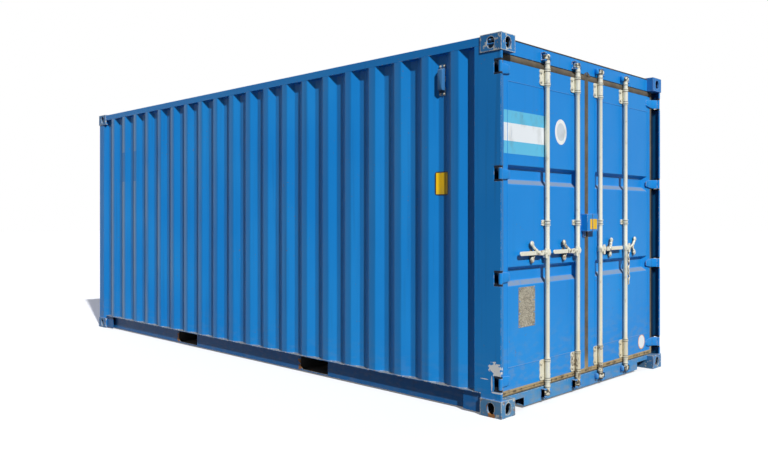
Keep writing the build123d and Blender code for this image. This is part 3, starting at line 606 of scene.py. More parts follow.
class Coat(Graph):
    """A material's node tree, with the patterns that the finishes share."""

    def __init__(self, name: str) -> None:
        """Starts a material of that name with its one shader."""
        self.material = bpy.data.materials.new(name)
        self.material.use_nodes = True
        super().__init__(self.material.node_tree)
        self.shader = self.tree.nodes["Principled BSDF"]
        self.place = self.node("ShaderNodeTexCoord").outputs["Object"]
        self.x, self.y, self.z = self.node("ShaderNodeSeparateXYZ", {0: self.place}).outputs

    def noise(
        self, scale: float, stretch: Point = (1.0, 1.0, 1.0), detail: float = 4.0, shift: float = 0.0
    ) -> Socket:
        """Cloudy pattern between 0 and 1.

        Args:
            scale: Clouds in a metre, about.
            stretch: Factor on the scale along each axis.
            detail: Number of finer layers.
            shift: Distance that the pattern is moved by.

        Returns:
            The value.
        """
        moved = {"Vector": self.place, "Location": (shift, shift, shift), "Scale": stretch}
        mapped = self.node("ShaderNodeMapping", moved).outputs[0]
        clouds = {"Vector": mapped, "Scale": scale, "Detail": detail}
        return self.node("ShaderNodeTexNoise", clouds).outputs[0]

    def cells(self, scale: float) -> Socket:
        """A random value for each cell of a crystal-like pattern."""
        cells = self.node("ShaderNodeTexVoronoi", {"Vector": self.place, "Scale": scale})
        return self.node("ShaderNodeSeparateColor", {0: cells.outputs["Color"]}).outputs[0]

    def edges(self, radius: float) -> Socket:
        """Near 1 along edges, where a normal that is rounded over a radius turns from the true one.

        Args:
            radius: How far the rounding reaches.

        Returns:
            The value.
        """
        rounded = self.node("ShaderNodeBevel", {"Radius": radius}, samples=6).outputs[0]
        true = self.node("ShaderNodeNewGeometry").outputs["Normal"]
        return self.band(self.vector("DOT_PRODUCT", rounded, true).outputs["Value"], 0.985, 0.86)

    def corners(self, reach: float) -> Socket:
        """Near 1 in inner corners, where other surfaces stand closer than the reach."""
        made = self.node("ShaderNodeAmbientOcclusion", {"Distance": reach}, samples=8)
        return self.band(made.outputs["AO"], 0.8, 0.45)

    def mark(self, name: str) -> Socket:
        """A value that the piece's own mesh carries."""
        return self.node("ShaderNodeAttribute", attribute_name=name).outputs["Fac"]

    def spot(self, centre: Point, reach: Point, ragged: float) -> Socket:
        """1 inside an oval space with a ragged rim, 0 outside it.

        Args:
            centre: Middle of the space.
            reach: Half sizes along the axes.
            ragged: How far the rim wanders, as a share of the reach.

        Returns:
            The value.
        """
        moved = self.vector("SUBTRACT", self.place, centre).outputs[0]
        scaled = self.vector("DIVIDE", moved, reach).outputs[0]
        length = self.vector("LENGTH", scaled).outputs["Value"]
        wander = self.times(self.noise(38.0, detail=6.0), ragged)
        mean = 0.5 * ragged
        return self.band(self.calc("ADD", length, wander), 1.0 + mean, 0.9 + mean)

    def between(self, value: Socket, low: float, high: float) -> Socket:
        """1 from low to high, 0 outside, with a rise of two millimetres at each end."""
        return self.times(self.band(value, low, low + 0.002), self.band(value, high, high - 0.002))

    def upward(self) -> Socket:
        """1 where the surface leans up: it holds dust there, and on the rail's ledges also a painted
        highlight.
        """
        normal = self.node("ShaderNodeNewGeometry").outputs["Normal"]
        return self.band(self.node("ShaderNodeSeparateXYZ", {0: normal}).outputs[2], 0.3, 0.8)

    def over(self, under: Value, top: Colour, strength: float, *shares: Value) -> Socket:
        """Lays a colour over another, by the product of its strength and all shares."""
        return self.mix(self.times(strength, *shares), under, top)

    def complete(
        self,
        colour: Value,
        dull: Socket,
        rough: Pair,
        height: Socket,
        depth: float,
        specular: float = 0.5,
        metallic: float = 0.0,
    ) -> bpy.types.Material:
        """Sets up the shader.

        Args:
            colour: Colour of the surface.
            dull: Share by which it is dulled.
            rough: Roughness without that, and what that adds.
            height: Value that the surface rises and falls with.
            depth: Its rise where that value is 1.
            specular: Level of the gloss.
            metallic: Share of metal.

        Returns:
            The material.
        """
        relief = self.node("ShaderNodeBump", {"Strength": 1.0, "Distance": depth, "Height": height})
        values = {
            "Base Color": colour,
            "Roughness": self.calc("ADD", self.times(dull, rough[1]), rough[0]),
            "Specular IOR Level": specular,
            "Metallic": metallic,
            "Normal": relief.outputs[0],
        }
        for name, value in values.items():
            self.put(self.shader.inputs[name], value)
        return self.material


# Pale colour of dust, which on ledges also serves as a painted highlight.
DUST_AND_HIGHLIGHT = srgb(152, 150, 136)
GRIME = srgb(30, 62, 98)
RUST = srgb(138, 92, 44)
# Colour of bare metal in worn edges and flecks; on edges it also serves as a painted glint.
BARE_AND_GLINT = srgb(222, 220, 204)
# Near-black colour of painted shade in deep recesses and gaps.
HOLLOW_SHADE = srgb(9, 13, 20)


@dataclass(frozen=True)
class Cloud:
    """Cloudy patches in a finish.

    Attributes:
        scale: Clouds in a metre, about.
        start: Value of the clouds at which a patch starts.
        full: Value at which it is full.
        stretch: Factor on the scale along each axis.
        detail: Number of finer layers.
        shift: Distance that the clouds are moved by.
    """

    scale: float
    start: float
    full: float
    stretch: Point = (1.0, 1.0, 1.0)
    detail: float = 4.0
    shift: float = 0.0

    def value(self, graph: Coat) -> Socket:
        """The clouds themselves, between 0 and 1."""
        return graph.noise(self.scale, self.stretch, self.detail, self.shift)

    def share(self, graph: Coat) -> Socket:
        """1 inside the patches, 0 outside."""
        return graph.band(self.value(graph), self.start, self.full)


@dataclass(frozen=True)
class Hollow:
    """A box-shaped space in which a finish differs: near black as painted shade of a deep hollow or gap, or
    painted over.

    Attributes:
        x: Least and greatest distance from the middle along X.
        y: Least and greatest distance from the middle along Y.
        z: Least and greatest height.
        strength: Share of the difference.
        mirrored: Whether both sides and both ends have it, or x and y are places and it is one alone.
    """

    x: Pair
    y: Pair
    z: Pair
    strength: float = 0.96
    mirrored: bool = True

    def share(self, graph: Coat) -> Socket:
        """Share of the difference at a place.

        Args:
            graph: Tree of the finish.

        Returns:
            The value.
        """
        x, y = graph.x, graph.y
        if self.mirrored:
            x, y = graph.calc("ABSOLUTE", x), graph.calc("ABSOLUTE", y)
        inside = graph.times(graph.between(x, *self.x), graph.between(y, *self.y))
        return graph.times(inside, graph.between(graph.z, *self.z), self.strength)


@dataclass(frozen=True)
class Scuff:
    """A worn or stained place in a finish.

    Attributes:
        centre: Middle of the place.
        reach: Half sizes along the axes.
        colour: Colour that shows there.
        ragged: How far the rim wanders.
        strength: Share of the colour at its heart.
    """

    centre: Point
    reach: Point
    colour: Colour
    ragged: float
    strength: float

    def share(self, graph: Coat) -> Socket:
        """1 inside the place, 0 outside."""
        return graph.spot(self.centre, self.reach, self.ragged)


@dataclass(frozen=True)
class PaintFinish:
    """Weathered satin paint: soft fading, run-off streaks, dust near the ground, worn edges with a painted
    glint and rust specks.

    A strength of 0 leaves that wear out. Dust lies near the ground and on faces that lean up, and on
    ledges it is partly a painted highlight. Chips are on edges, partly a painted glint, and flecks on faces.
    Wear of a folded sheet's outer bends, with a painted sheen on them, is painted over in the repainted
    places.
    """

    name: str
    colour: Colour = srgb(20, 134, 214)
    faded: Colour = srgb(32, 142, 219)
    streaks: float = 0.3
    dust: float = 0.3
    dust_height: float = 0.5
    top_dust_and_highlight: float = 0.3
    chips_and_glints: float = 0.0
    edge_width: float = 0.007
    flecks: float = 0.0
    rub: float = 0.0
    rub_sheen_colour: Colour = srgb(160, 190, 212)
    repainted: tuple[Hollow, ...] = ()
    scuffs: tuple[Scuff, ...] = ()
    hollows: tuple[Hollow, ...] = ()

    def material(self) -> bpy.types.Material:
        """Lays fading, streaks, dust with a painted highlight on ledges, specks, worn edges with a painted
        glint, worn bends with a painted sheen, scuffs and the painted shade of hollows over the paint in turn.

        Returns:
            The material.
        """
        graph = Coat(self.name)
        colour = graph.over(self.colour, self.faded, 1.0, Cloud(0.9, 0.35, 0.68, detail=3.0).share(graph))
        runs = Cloud(1.0, 0.52, 0.78, (24.0, 24.0, 0.7)).share(graph)
        colour = graph.over(colour, GRIME, self.streaks, runs)
        # Pale dust near the ground and on faces that lean up, on ledges partly a painted highlight.
        dust_and_top_light = self.dusty(graph)
        colour = graph.mix(dust_and_top_light, colour, DUST_AND_HIGHLIGHT)
        specks = Cloud(46.0, 0.69, 0.73, detail=2.0).share(graph)
        worn = graph.times(specks, Cloud(1.7, 0.5, 0.62).share(graph))
        colour = graph.over(colour, RUST, 0.5, worn)
        tone = graph.mix(Cloud(21.0, 0.5, 0.66).share(graph), BARE_AND_GLINT, RUST)
        # Worn edges, pale like bare metal, which also serve as a painted glint along the edges.
        if self.chips_and_glints:
            level = 0.64 - 0.25 * self.chips_and_glints
            flakes = Cloud(40.0, level, level + 0.05, detail=6.0).share(graph)
            chip_glint = graph.times(graph.edges(self.edge_width), flakes)
            colour = graph.over(colour, tone, 0.9, chip_glint)
            worn = graph.calc("MAXIMUM", worn, chip_glint)
        if self.flecks:
            level = 0.74 - 0.25 * self.flecks
            fleck = Cloud(34.0, level, level + 0.03, detail=7.0, shift=4.0).share(graph)
            colour = graph.over(colour, tone, 0.75, fleck)
            worn = graph.calc("MAXIMUM", worn, fleck)
        # Pale wear on the outer bends of folded sheet with a painted sheen, the grazing reflection of those
        # faces, left out where repainted.
        if self.rub:
            patches = Cloud(3.0, 0.2, 0.55, (1.0, 1.0, 0.35)).share(graph)
            left = [graph.calc("SUBTRACT", 1.0, place.share(graph)) for place in self.repainted]
            colour = graph.over(colour, self.rub_sheen_colour, self.rub, graph.mark("rub"), patches, *left)
        for scuff in self.scuffs:
            patch = scuff.share(graph)
            colour = graph.over(colour, scuff.colour, scuff.strength, patch)
            worn = graph.calc("MAXIMUM", worn, graph.times(patch, 0.5))
        # Painted shade: deep recesses and gaps are darkened to near black.
        for hollow in self.hollows:
            colour = graph.mix(hollow.share(graph), colour, HOLLOW_SHADE)
        matt = graph.times(graph.calc("MAXIMUM", worn, dust_and_top_light), 0.25)
        dull = graph.calc("ADD", graph.times(graph.noise(5.0), 0.12), matt)
        grain = graph.times(graph.noise(420.0, detail=2.0), 0.12)
        height = graph.calc("SUBTRACT", grain, graph.times(worn, 0.6))
        return graph.complete(colour, dull, (0.36, 1.0), height, 0.0006, specular=0.2)

    def dusty(self, graph: Coat) -> Socket:
        """Share of pale colour: dust drifts near the ground, and on faces that lean up a pale coat that is
        dust and, on the rail's ledges, partly a painted highlight.

        Args:
            graph: Tree of the finish.

        Returns:
            The value.
        """
        drift = Cloud(17.0, 0.42, 0.72, (0.6, 0.6, 1.5), 9.0).share(graph)
        low = graph.times(graph.band(graph.z, self.dust_height, 0.0), drift, self.dust)
        held = graph.times(graph.upward(), self.top_dust_and_highlight, Cloud(24.0, 0.05, 0.5).share(graph))
        return graph.calc("MAXIMUM", low, held)


@dataclass(frozen=True)
class ZincFinish:
    """Dull galvanised steel: pale crystals, stains low down, brown wear on edges and run-off in places.

    Grime is the strength of the brown smears, and corner_shade that of the painted shade in inner corners.
    Shade-and-grease rings are heights of dark rings round the bars, painted shade where collars and brackets
    meet the bar with some grease, which show from the X of groove_face on, at the front only.
    """

    name: str
    colour: Colour = srgb(232, 230, 212)
    stain: Colour = srgb(206, 186, 138)
    grime: float = 0.35
    smears: float = 30.0
    smear_start: float = 0.58
    corner_shade: float = 0.0
    runs: tuple[Scuff, ...] = ()
    shade_and_grease_rings: tuple[float, ...] = ()
    groove_half: float = 0.004
    groove_face: Pair = (2.978, 2.98)

    def material(self) -> bpy.types.Material:
        """Lays crystals, stains, smears, painted shade in corners, dark cam ends, worn edges, painted shade
        and grease in rings, and runs over the zinc in turn.

        Returns:
            The material.
        """
        graph = Coat(self.name)
        crystal = graph.cells(150.0)
        colour = graph.over(self.colour, srgb(208, 206, 190), 0.35, crystal)
        stained = Cloud(9.0, 0.35, 0.7, (1.0, 1.0, 0.3)).share(graph)
        colour = graph.over(colour, self.stain, 0.6, graph.band(graph.z, 1.3, 0.1), stained)
        smear = Cloud(self.smears, self.smear_start, self.smear_start + 0.14, (1.0, 1.0, 0.5), 5.0)
        colour = graph.over(colour, srgb(134, 112, 84), self.grime, smear.share(graph))
        # Painted shade: inner corners darkened by an occlusion mask.
        if self.corner_shade:
            colour = graph.over(colour, srgb(58, 48, 36), self.corner_shade, graph.corners(0.06))
        # Dark blotches on the cam ends of the bars, top and bottom.
        ends = graph.calc("MAXIMUM", graph.band(graph.z, 2.485, 2.5), graph.band(graph.z, 0.108, 0.095))
        dark_blotches = Cloud(46.0, 0.44, 0.52, shift=1.0).share(graph)
        colour = graph.over(colour, srgb(44, 40, 36), 0.92, ends, dark_blotches)
        colour = graph.over(colour, RUST, 0.4, graph.edges(0.004), Cloud(60.0, 0.5, 0.6).share(graph))
        # Painted shade, with some grease, in rings where collars and brackets meet the bar, on its front only.
        for level in self.shade_and_grease_rings:
            ring = graph.between(graph.z, level - self.groove_half, level + self.groove_half)
            colour = graph.over(colour, srgb(74, 66, 54), 0.6, ring, graph.band(graph.x, *self.groove_face))
        for run in self.runs:
            trickle = Cloud(75.0, 0.46, 0.54, (1.0, 1.0, 0.5), 5.0).share(graph)
            colour = graph.over(colour, run.colour, run.strength, run.share(graph), trickle)
        fine = graph.noise(260.0, detail=3.0)
        return graph.complete(colour, crystal, (0.42, 0.12), fine, 0.0003, specular=0.3, metallic=0.1)


@dataclass(frozen=True)
class RubberFinish:
    """Weathered seal rubber: brown with a dusty bloom, paler near the ground, with fine cracks."""

    name: str

    def material(self) -> bpy.types.Material:
        """Lays the bloom, the pale foot, a dark line above it and cracks over the rubber.

        Returns:
            The material.
        """
        graph = Coat(self.name)
        bloom = Cloud(11.0, 0.3, 0.75, detail=5.0).share(graph)
        colour = graph.over(srgb(87, 80, 69), srgb(112, 103, 88), 1.0, bloom)
        pale = Cloud(14.0, 0.2, 0.5).share(graph)
        colour = graph.over(colour, srgb(170, 150, 114), 0.9, graph.band(graph.z, 0.30, 0.16), pale)
        dashes = Cloud(26.0, 0.50, 0.60, (1.0, 1.0, 0.5), 7.0).share(graph)
        colour = graph.over(colour, srgb(66, 58, 46), 0.7, graph.between(graph.z, 0.134, 0.152), dashes)
        crack = Cloud(70.0, 0.6, 0.7, detail=6.0).share(graph)
        colour = graph.over(colour, srgb(62, 53, 43), 0.5, crack)
        height = graph.calc("SUBTRACT", graph.noise(180.0), crack)
        return graph.complete(colour, bloom, (0.68, 0.15), height, 0.0005, specular=0.2)


@dataclass(frozen=True)
class PlywoodFinish:
    """Worn floor plywood: long grain, scuffed pale tracks and dark stains."""

    name: str

    def material(self) -> bpy.types.Material:
        """Lays grain, tracks and stains over the wood.

        Returns:
            The material.
        """
        graph = Coat(self.name)
        grain = Cloud(5.0, 0.3, 0.7, (0.5, 14.0, 14.0), 7.0)
        colour = graph.over(srgb(96, 62, 38), srgb(158, 112, 70), 1.0, grain.share(graph))
        track = Cloud(1.4, 0.5, 0.7, (0.4, 2.2, 1.0), 5.0).share(graph)
        colour = graph.over(colour, srgb(176, 152, 122), 0.4, track)
        stain = Cloud(2.6, 0.62, 0.72, detail=5.0, shift=3.0).share(graph)
        colour = graph.over(colour, srgb(48, 34, 26), 0.6, stain)
        return graph.complete(colour, track, (0.58, 0.2), grain.value(graph), 0.001)


@dataclass(frozen=True)
class UndersealFinish:
    """Matt coat with road dust and rust in patches, black unless another colour is given."""

    name: str
    colour: Colour = srgb(34, 34, 36)
    dirt: Colour = srgb(112, 98, 80)

    def material(self) -> bpy.types.Material:
        """Lays dust and rust over the coat.

        Returns:
            The material.
        """
        graph = Coat(self.name)
        dusty = Cloud(4.0, 0.4, 0.75, detail=6.0).share(graph)
        colour = graph.over(self.colour, self.dirt, 0.5, dusty)
        rusty = Cloud(9.0, 0.62, 0.7, detail=6.0, shift=5.0).share(graph)
        colour = graph.over(colour, RUST, 0.6, rusty)
        return graph.complete(colour, dusty, (0.78, 0.15), graph.noise(120.0), 0.0012)


@dataclass(frozen=True)
class AlloyFinish:
    """Dull weathered alloy of a plate, with a fine speckle and dirt in patches."""

    name: str

    def material(self) -> bpy.types.Material:
        """Lays speckle and dirt over the alloy.

        Returns:
            The material.
        """
        graph = Coat(self.name)
        speckle = Cloud(130.0, 0.4, 0.6, detail=6.0)
        colour = graph.over(srgb(118, 112, 98), srgb(192, 184, 163), 1.0, speckle.share(graph))
        dirt = Cloud(16.0, 0.5, 0.7, detail=5.0).share(graph)
        colour = graph.over(colour, srgb(118, 112, 100), 0.3, dirt)
        height = speckle.value(graph)
        return graph.complete(colour, dirt, (0.5, 0.2), height, 0.0003, specular=0.3, metallic=0.3)


class Field(Enum):
    """Where a sticker's second colour lies."""

    NONE = "nowhere"
    BORDER = "along a straight border"
    RIM = "in a ring along a round rim"
    BANDS = "in level bands above and below"


@dataclass(frozen=True)
class StickerFinish:
    """Thin blank film, in one colour or two, with scuffs and dirt.

    Attributes:
        name: Name of the material.
        colour: Main colour.
        centre: Middle of the sticker, along its level direction and Z.
        size: Size along the same two.
        second: Second colour.
        field: Where the second colour lies.
        width: Width of the border or ring, or half the height between the bands.
        level: Axis of the level direction, 0 for X and 1 for Y.
    """

    name: str
    colour: Colour
    centre: Pair
    size: Pair
    second: Colour = (0.0, 0.0, 0.0)
    field: Field = Field.NONE
    width: float = 0.006
    level: int = 1

    def material(self) -> bpy.types.Material:
        """Lays the second colour, dirt and scratches over the film.

        Returns:
            The material.
        """
        graph = Coat(self.name)
        colour: Value = self.colour
        if self.field is not Field.NONE:
            colour = graph.mix(self.share(graph), self.colour, self.second)
        dirt = Cloud(13.0, 0.5, 0.74, (1.0, 1.0, 0.6), 6.0).share(graph)
        colour = graph.over(colour, srgb(120, 118, 108), 0.22, dirt)
        scratch = Cloud(40.0, 0.66, 0.7, (1.0, 1.0, 0.25), 5.0, 2.0).share(graph)
        colour = graph.over(colour, srgb(70, 120, 170), 0.35, scratch)
        fine = graph.noise(300.0, detail=2.0)
        return graph.complete(colour, dirt, (0.42, 0.2), fine, 0.0001, specular=0.25)

    def share(self, graph: Coat) -> Socket:
        """1 where the second colour lies, from the distances to the sticker's middle.

        Args:
            graph: Tree of the finish.

        Returns:
            The value.
        """
        places = ((graph.x, graph.y)[self.level], graph.z)
        halves = [length / 2 for length in self.size]
        apart = [graph.calc("ABSOLUTE", graph.calc("SUBTRACT", *pair)) for pair in zip(places, self.centre)]
        if self.field is Field.BANDS:
            return graph.calc("GREATER_THAN", apart[1], self.width)
        if self.field is Field.RIM:
            shares = [graph.calc("DIVIDE", *pair) for pair in zip(apart, halves)]
            ring = graph.calc("SQRT", graph.calc("ADD", *(graph.times(part, part) for part in shares)))
            return graph.calc("GREATER_THAN", ring, 1.0 - self.width / halves[0])
        rims = [graph.calc("GREATER_THAN", part, half - self.width) for part, half in zip(apart, halves)]
        return graph.calc("MAXIMUM", *rims)


class Palette:
    """Every finish of the container, made once."""

    def __init__(self) -> None:
        """Makes the materials."""
        # Painted shade: boxes darkened to near black behind the hinges, on the inner face of each rear post's
        # plate, and in the vent mouths.
        behind_hinges = Hollow((2.80, 3.017), (1.147, 1.2075), (0.12, 2.472))
        behind_plate = Hollow((2.95, 3.03), (1.2035, 1.2105), (0.12, 2.472), 0.55)
        dark = (behind_hinges, behind_plate)
        covered = Hollow((-2.548, -2.010), (-1.22, -1.15), (1.761, 2.105), 0.8, False)
        mouth = Hollow((2.40, 2.60), (1.1815, 1.2125), (2.20, 2.264))
        ochre = srgb(172, 112, 42)
        # The rail's blue is darker than the other paint: painted shade for the rail's web under its lip.
        rail_shaded_blue = srgb(24, 108, 176)
        self.wall = PaintFinish(
            "wall_paint", rub=0.85, repainted=(covered,), streaks=0.2, dust=0.15
        ).material()
        self.roof = PaintFinish("roof_paint", dust=0.0, streaks=0.15, top_dust_and_highlight=0.2).material()
        self.frame = PaintFinish("frame_paint", streaks=0.1, chips_and_glints=0.4, dust=0.35, hollows=dark).material()
        forks = tuple(
            Scuff((x, side.out * 1.19, z), (0.03, 0.06, 0.025), ochre, 1.6, 0.9)
            for side in Side
            for x in (-1.218, 0.842)
            for z in (0.045, 0.09)
        )
        # Pale dust on the rail's top ledges, which is partly a painted highlight.
        self.rail = PaintFinish(
            "rail_paint", rail_shaded_blue, rail_shaded_blue, chips_and_glints=0.55, dust=0.2, top_dust_and_highlight=0.9, scuffs=forks
        ).material()
        self.door = PaintFinish("door_paint", streaks=0.06, dust=0.3, dust_height=0.8, top_dust_and_highlight=0.7).material()
        self.sill = PaintFinish(
            "sill_paint",
            srgb(40, 132, 200),
            srgb(78, 146, 196),
            chips_and_glints=0.7,
            flecks=0.1,
            dust=0.45,
            dust_height=0.3,
        ).material()
        self.casting = self.casting_paint(ochre)
        self.left_post = self.peeled_paint(dark)
        self.gear_blue = PaintFinish("gear_paint", chips_and_glints=0.85, dust=0.35).material()
        # Near-black paint of the hinge lugs: painted shade inside the posts' hinge windows.
        self.lug = PaintFinish(
            "lug_painted_shade", srgb(12, 20, 34), srgb(16, 26, 42), dust=0.0, top_dust_and_highlight=0.0
        ).material()
        self.vent = PaintFinish(
            "vent_paint", srgb(58, 118, 172), srgb(70, 128, 180), chips_and_glints=0.8, hollows=(mouth,)
        ).material()
        self.notch = UndersealFinish("notch_dust", srgb(150, 126, 88), srgb(96, 84, 66)).material()
        self.zinc = self.bar_zinc()
        self.bolt = ZincFinish("bolt_zinc", colour=srgb(214, 208, 186), grime=0.5).material()
        self.catch = ZincFinish(
            "catch_zinc", grime=0.85, smears=62.0, smear_start=0.48, corner_shade=0.85
        ).material()
        self.rubber = RubberFinish("seal_rubber").material()
        self.wood = PlywoodFinish("floor_plywood").material()
        self.underseal = UndersealFinish("underseal").material()
        self.alloy = AlloyFinish("plate_alloy").material()

    @staticmethod
    def casting_paint(stain: Colour) -> bpy.types.Material:
        """Battered paint of the castings, with painted shade in the holes, one stained foot and one sound top.

        Args:
            stain: Colour of the stain on the near foot.

        Returns:
            The material.
        """
        hole_x, hole_y = (2.866, 3.013), (1.072, 1.203)
        return PaintFinish(
            "casting_paint",
            srgb(46, 122, 184),
            srgb(92, 142, 178),
            chips_and_glints=1.2,
            edge_width=0.014,
            flecks=0.55,
            dust=0.4,
            dust_height=0.2,
            scuffs=(
                Scuff((2.945, -1.219, 0.012), (0.034, 0.05, 0.024), stain, 2.0, 0.9),
                Scuff((2.945, 1.14, 2.53), (0.17, 0.17, 0.14), srgb(24, 118, 196), 0.3, 0.75),
            ),
            # Painted shade: the insides of the casting holes are darkened to near black.
            hollows=(Hollow(hole_x, hole_y, (-0.01, 0.104)), Hollow(hole_x, hole_y, (2.487, 2.60))),
        ).material()

    @staticmethod
    def peeled_paint(dark: tuple[Hollow, ...]) -> bpy.types.Material:
        """Paint of the left rear post, which has peeled near its foot.

        Args:
            dark: Hollows behind the hinges, darkened as painted shade.

        Returns:
            The material.
        """
        deep = 0.06
        patches = (
            (2.970, 0.338, 0.056, 0.036, 2.4, 1.0),
            (2.990, 0.308, 0.034, 0.034, 2.4, 1.0),
            (2.884, 0.252, 0.034, 0.0034, 0.6, 0.95),
            (2.947, 0.225, 0.006, 0.060, 1.0, 0.9),
            (2.985, 0.170, 0.044, 0.006, 1.0, 0.9),
        )
        peeled = tuple(
            Scuff((x, -1.213, z), (wide, deep, tall), srgb(250, 250, 246), ragged, strength)
            for x, z, wide, tall, ragged, strength in patches
        )
        return PaintFinish("left_post_paint", chips_and_glints=0.6, scuffs=peeled, hollows=dark).material()

    @staticmethod
    def bar_zinc() -> bpy.types.Material:
        """Zinc of the bars and brackets, with painted shade and grease beside the rings and rust below the
        lower brackets.

        Returns:
            The material.
        """
        runs = tuple(
            Scuff((2.985, y, z), (0.06, wide, tall), srgb(84, 62, 40), 1.0, 0.75)
            for y, z, wide, tall in (
                (-0.212, 0.24, 0.03, 0.08),
                (-0.17, 0.14, 0.05, 0.04),
                (0.17, 0.30, 0.06, 0.016),
                (0.198, 0.22, 0.02, 0.09),
                (0.175, 0.14, 0.05, 0.05),
            )
        )
        low = (0.1145, 0.1645, 0.1795, 0.3005, 0.316)
        high = (1.300, 1.320, 2.309, 2.3245, 2.4105, 2.426, 2.467)
        return ZincFinish("bar_zinc", runs=runs, shade_and_grease_rings=low + high).material()


@dataclass
class FrameWork:
    """Castings, posts, rails, header and sill with rounded edges, and their welds, ears and small plates.

    Bars are distances from the seam. The welds of a post run along its side and its end. The dark strip along
    the header has a height, a thickness, a drop below the header's top and a gap at its ends. A notch plate
    has a width, a height and a thickness, and lies behind the sill's face, in from its end and up from its
    foot.
    """

    palette: Palette
    casting_rounding: float = 0.006
    rail_rounding: float = 0.003
    lip_rounding: float = 0.0015
    lug_rounding: float = 0.002
    keeper_rounding: float = 0.007
    bead_radius: float = 0.004
    bead_runs: Pair = (0.17, 0.06)
    bars: Pair = (0.603, 0.175)
    cam_levels: Pair = (0.075, 2.516)
    ear_offset: float = 0.041
    ear_rise: float = 0.012
    ear_reach: Point = (0.019, 0.014, 0.026)
    ear_root: float = 0.75
    edge_strip: tuple[float, float, float, float] = (0.008, 0.002, 0.006, 0.01)
    notch_plate: Point = (0.100, 0.058, 0.004)
    notch_spot: Point = (0.008, 0.052, 0.031)

    def build(self) -> None:
        """Dresses the nodes and adds welds, ears, the dark strip along the header and plates."""
        finish = self.palette
        castings = ("bottom_corner_castings", "top_corner_castings")
        plain = ["front_top_rail", "front_bottom_rail", "door_header", Side.RIGHT.own("rear_post")]
        plain += [side.own(part) for side in Side for part in ("front_post", "top_rail")]
        groups = (
            (castings, finish.casting, self.casting_rounding, 3),
            (plain, finish.frame, self.rail_rounding, 2),
            ((Side.LEFT.own("rear_post"),), finish.left_post, self.rail_rounding, 2),
            (("door_sill",), finish.sill, self.rail_rounding, 2),
            ([side.own("bottom_rail") for side in Side], finish.rail, self.lip_rounding, 2),
            ([side.own("hinge_lugs") for side in Side], finish.lug, self.lug_rounding, 2),
            (("cam_keepers",), finish.gear_blue, self.keeper_rounding, 3),
        )
        for nodes, coat, rounding, steps in groups:
            for node in nodes:
                dress(node, coat, rounding, steps)
        make_piece("post_welds", self.welds(), BOX_BODY, finish.frame)
        make_piece("keeper_ears", self.keeper_ears(), BOX_BODY, finish.gear_blue)
        make_piece("header_dark_strip", self.header_edge_strip(), BOX_BODY, finish.underseal)
        make_piece("sill_notch_plates", self.notch_plates(), BOX_BODY, finish.notch)

    def keeper_ears(self) -> Surface:
        """Forged ears of the keepers, on the seam side of each bar end: blocky eggs on header and sill.

        Returns:
            All ears.
        """
        x = box_of("door_header")[1][0] + self.ear_rise
        outer, inner = (bar - self.ear_offset for bar in self.bars)
        spots = grid_of([x], [-outer, -inner, inner, outer], self.cam_levels)
        return Surface.joined([egg(spot, self.ear_reach, self.ear_root, (16, 9)) for spot in spots])

    def header_edge_strip(self) -> Surface:
        """Dark strip along the upper front edge of the header.

        Returns:
            The line, as a thin plate.
        """
        low, high = box_of("door_header")
        tall, thick, drop, gap = self.edge_strip
        outline = rounded_rectangle(high[1] - low[1] - gap, tall, thick, 3)
        return slab(outline, (high[0], 0.0, high[2] - drop), Y_AXIS, Z_AXIS, thick)

    def notch_plates(self) -> Surface:
        """Dusty plates behind the sill's notches, beside the castings.

        Returns:
            Both plates.
        """
        low, high = box_of("door_sill")
        wide, tall, thick = self.notch_plate
        back, inward, up = self.notch_spot
        outline = rounded_rectangle(wide, tall, 0.002, 3)
        middles = [(low[0] - back, side.out * (high[1] - inward), low[2] + up) for side in Side]
        return Surface.joined([slab(outline, middle, Y_AXIS, Z_AXIS, thick) for middle in middles])

    def welds(self) -> Surface:
        """Level beads where each post meets its castings, on the two outer faces.

        Returns:
            All beads.
        """
        beads = []
        on_side, on_end = self.bead_runs
        for side in Side:
            for post, face in (("rear_post", 1.0), ("front_post", -1.0)):
                low, high = box_of(side.own(post))
                y = side.out * max(abs(low[1]), abs(high[1]))
                x = high[0] if face > 0 else low[0]
                for z in (low[2], high[2]):
                    corner = (x, y, z)
                    beads += [
                        bead((x - face * on_side, y, z), corner, side.out * Y_AXIS, self.bead_radius),
                        bead(corner, (x, y - side.out * on_end, z), face * X_AXIS, self.bead_radius),
                    ]
        return Surface.joined(beads)


@dataclass
class FoldLine:
    """Run of a folded sheet: how far along each fold lies and how deep.

    Attributes:
        recesses: Number of recesses.
        slope: Length of a slope along the run.
        flat: Length of a recess floor.
        depth: Depth of the recesses.
    """

    recesses: int
    slope: float
    flat: float
    depth: float

    @property
    def length(self) -> float:
        """Length of a recess along the run, with both slopes."""
        return 2 * self.slope + self.flat

    def corners(self, starts: np.ndarray) -> np.ndarray:
        """Four corners for each recess.

        Args:
            starts: Places where the recesses start.

        Returns:
            Place along the run and depth of each corner.
        """
        steps = np.array([0.0, self.slope, self.slope + self.flat, self.length])
        along = starts[:, None] + steps[None, :]
        deep = np.broadcast_to(np.array([0.0, self.depth, self.depth, 0.0]), along.shape)
        return np.stack([along, deep], axis=-1).reshape(-1, 2)

    def even(self, low: float, high: float) -> np.ndarray:
        """Corners of recesses spread evenly between two ends, with half a ridge at each end.

        Args:
            low: First end.
            high: Other end.

        Returns:
            Place along the run and depth of each corner and both ends.
        """
        pitch = (high - low) / self.recesses
        inner = self.corners(low + (pitch - self.length) / 2 + pitch * np.arange(self.recesses))
        return np.concatenate([[[low, 0.0]], inner, [[high, 0.0]]])


def sheet_waves(along: np.ndarray, across: np.ndarray) -> np.ndarray:
    """Slight unevenness of welded sheet: two crossed sine waves of different lengths.

    Args:
        along: Places along the run.
        across: Places across it.

    Returns:
        Depth for each place across and along.
    """
    first = np.sin(2.1 * along)[None, :] * np.sin(3.1 * across)[:, None]
    second = np.sin(5.7 * along + 1.3)[None, :] * np.sin(1.9 * across + 0.6)[:, None]
    return SHEET_WAVES * (first + 0.6 * second) / 1.6


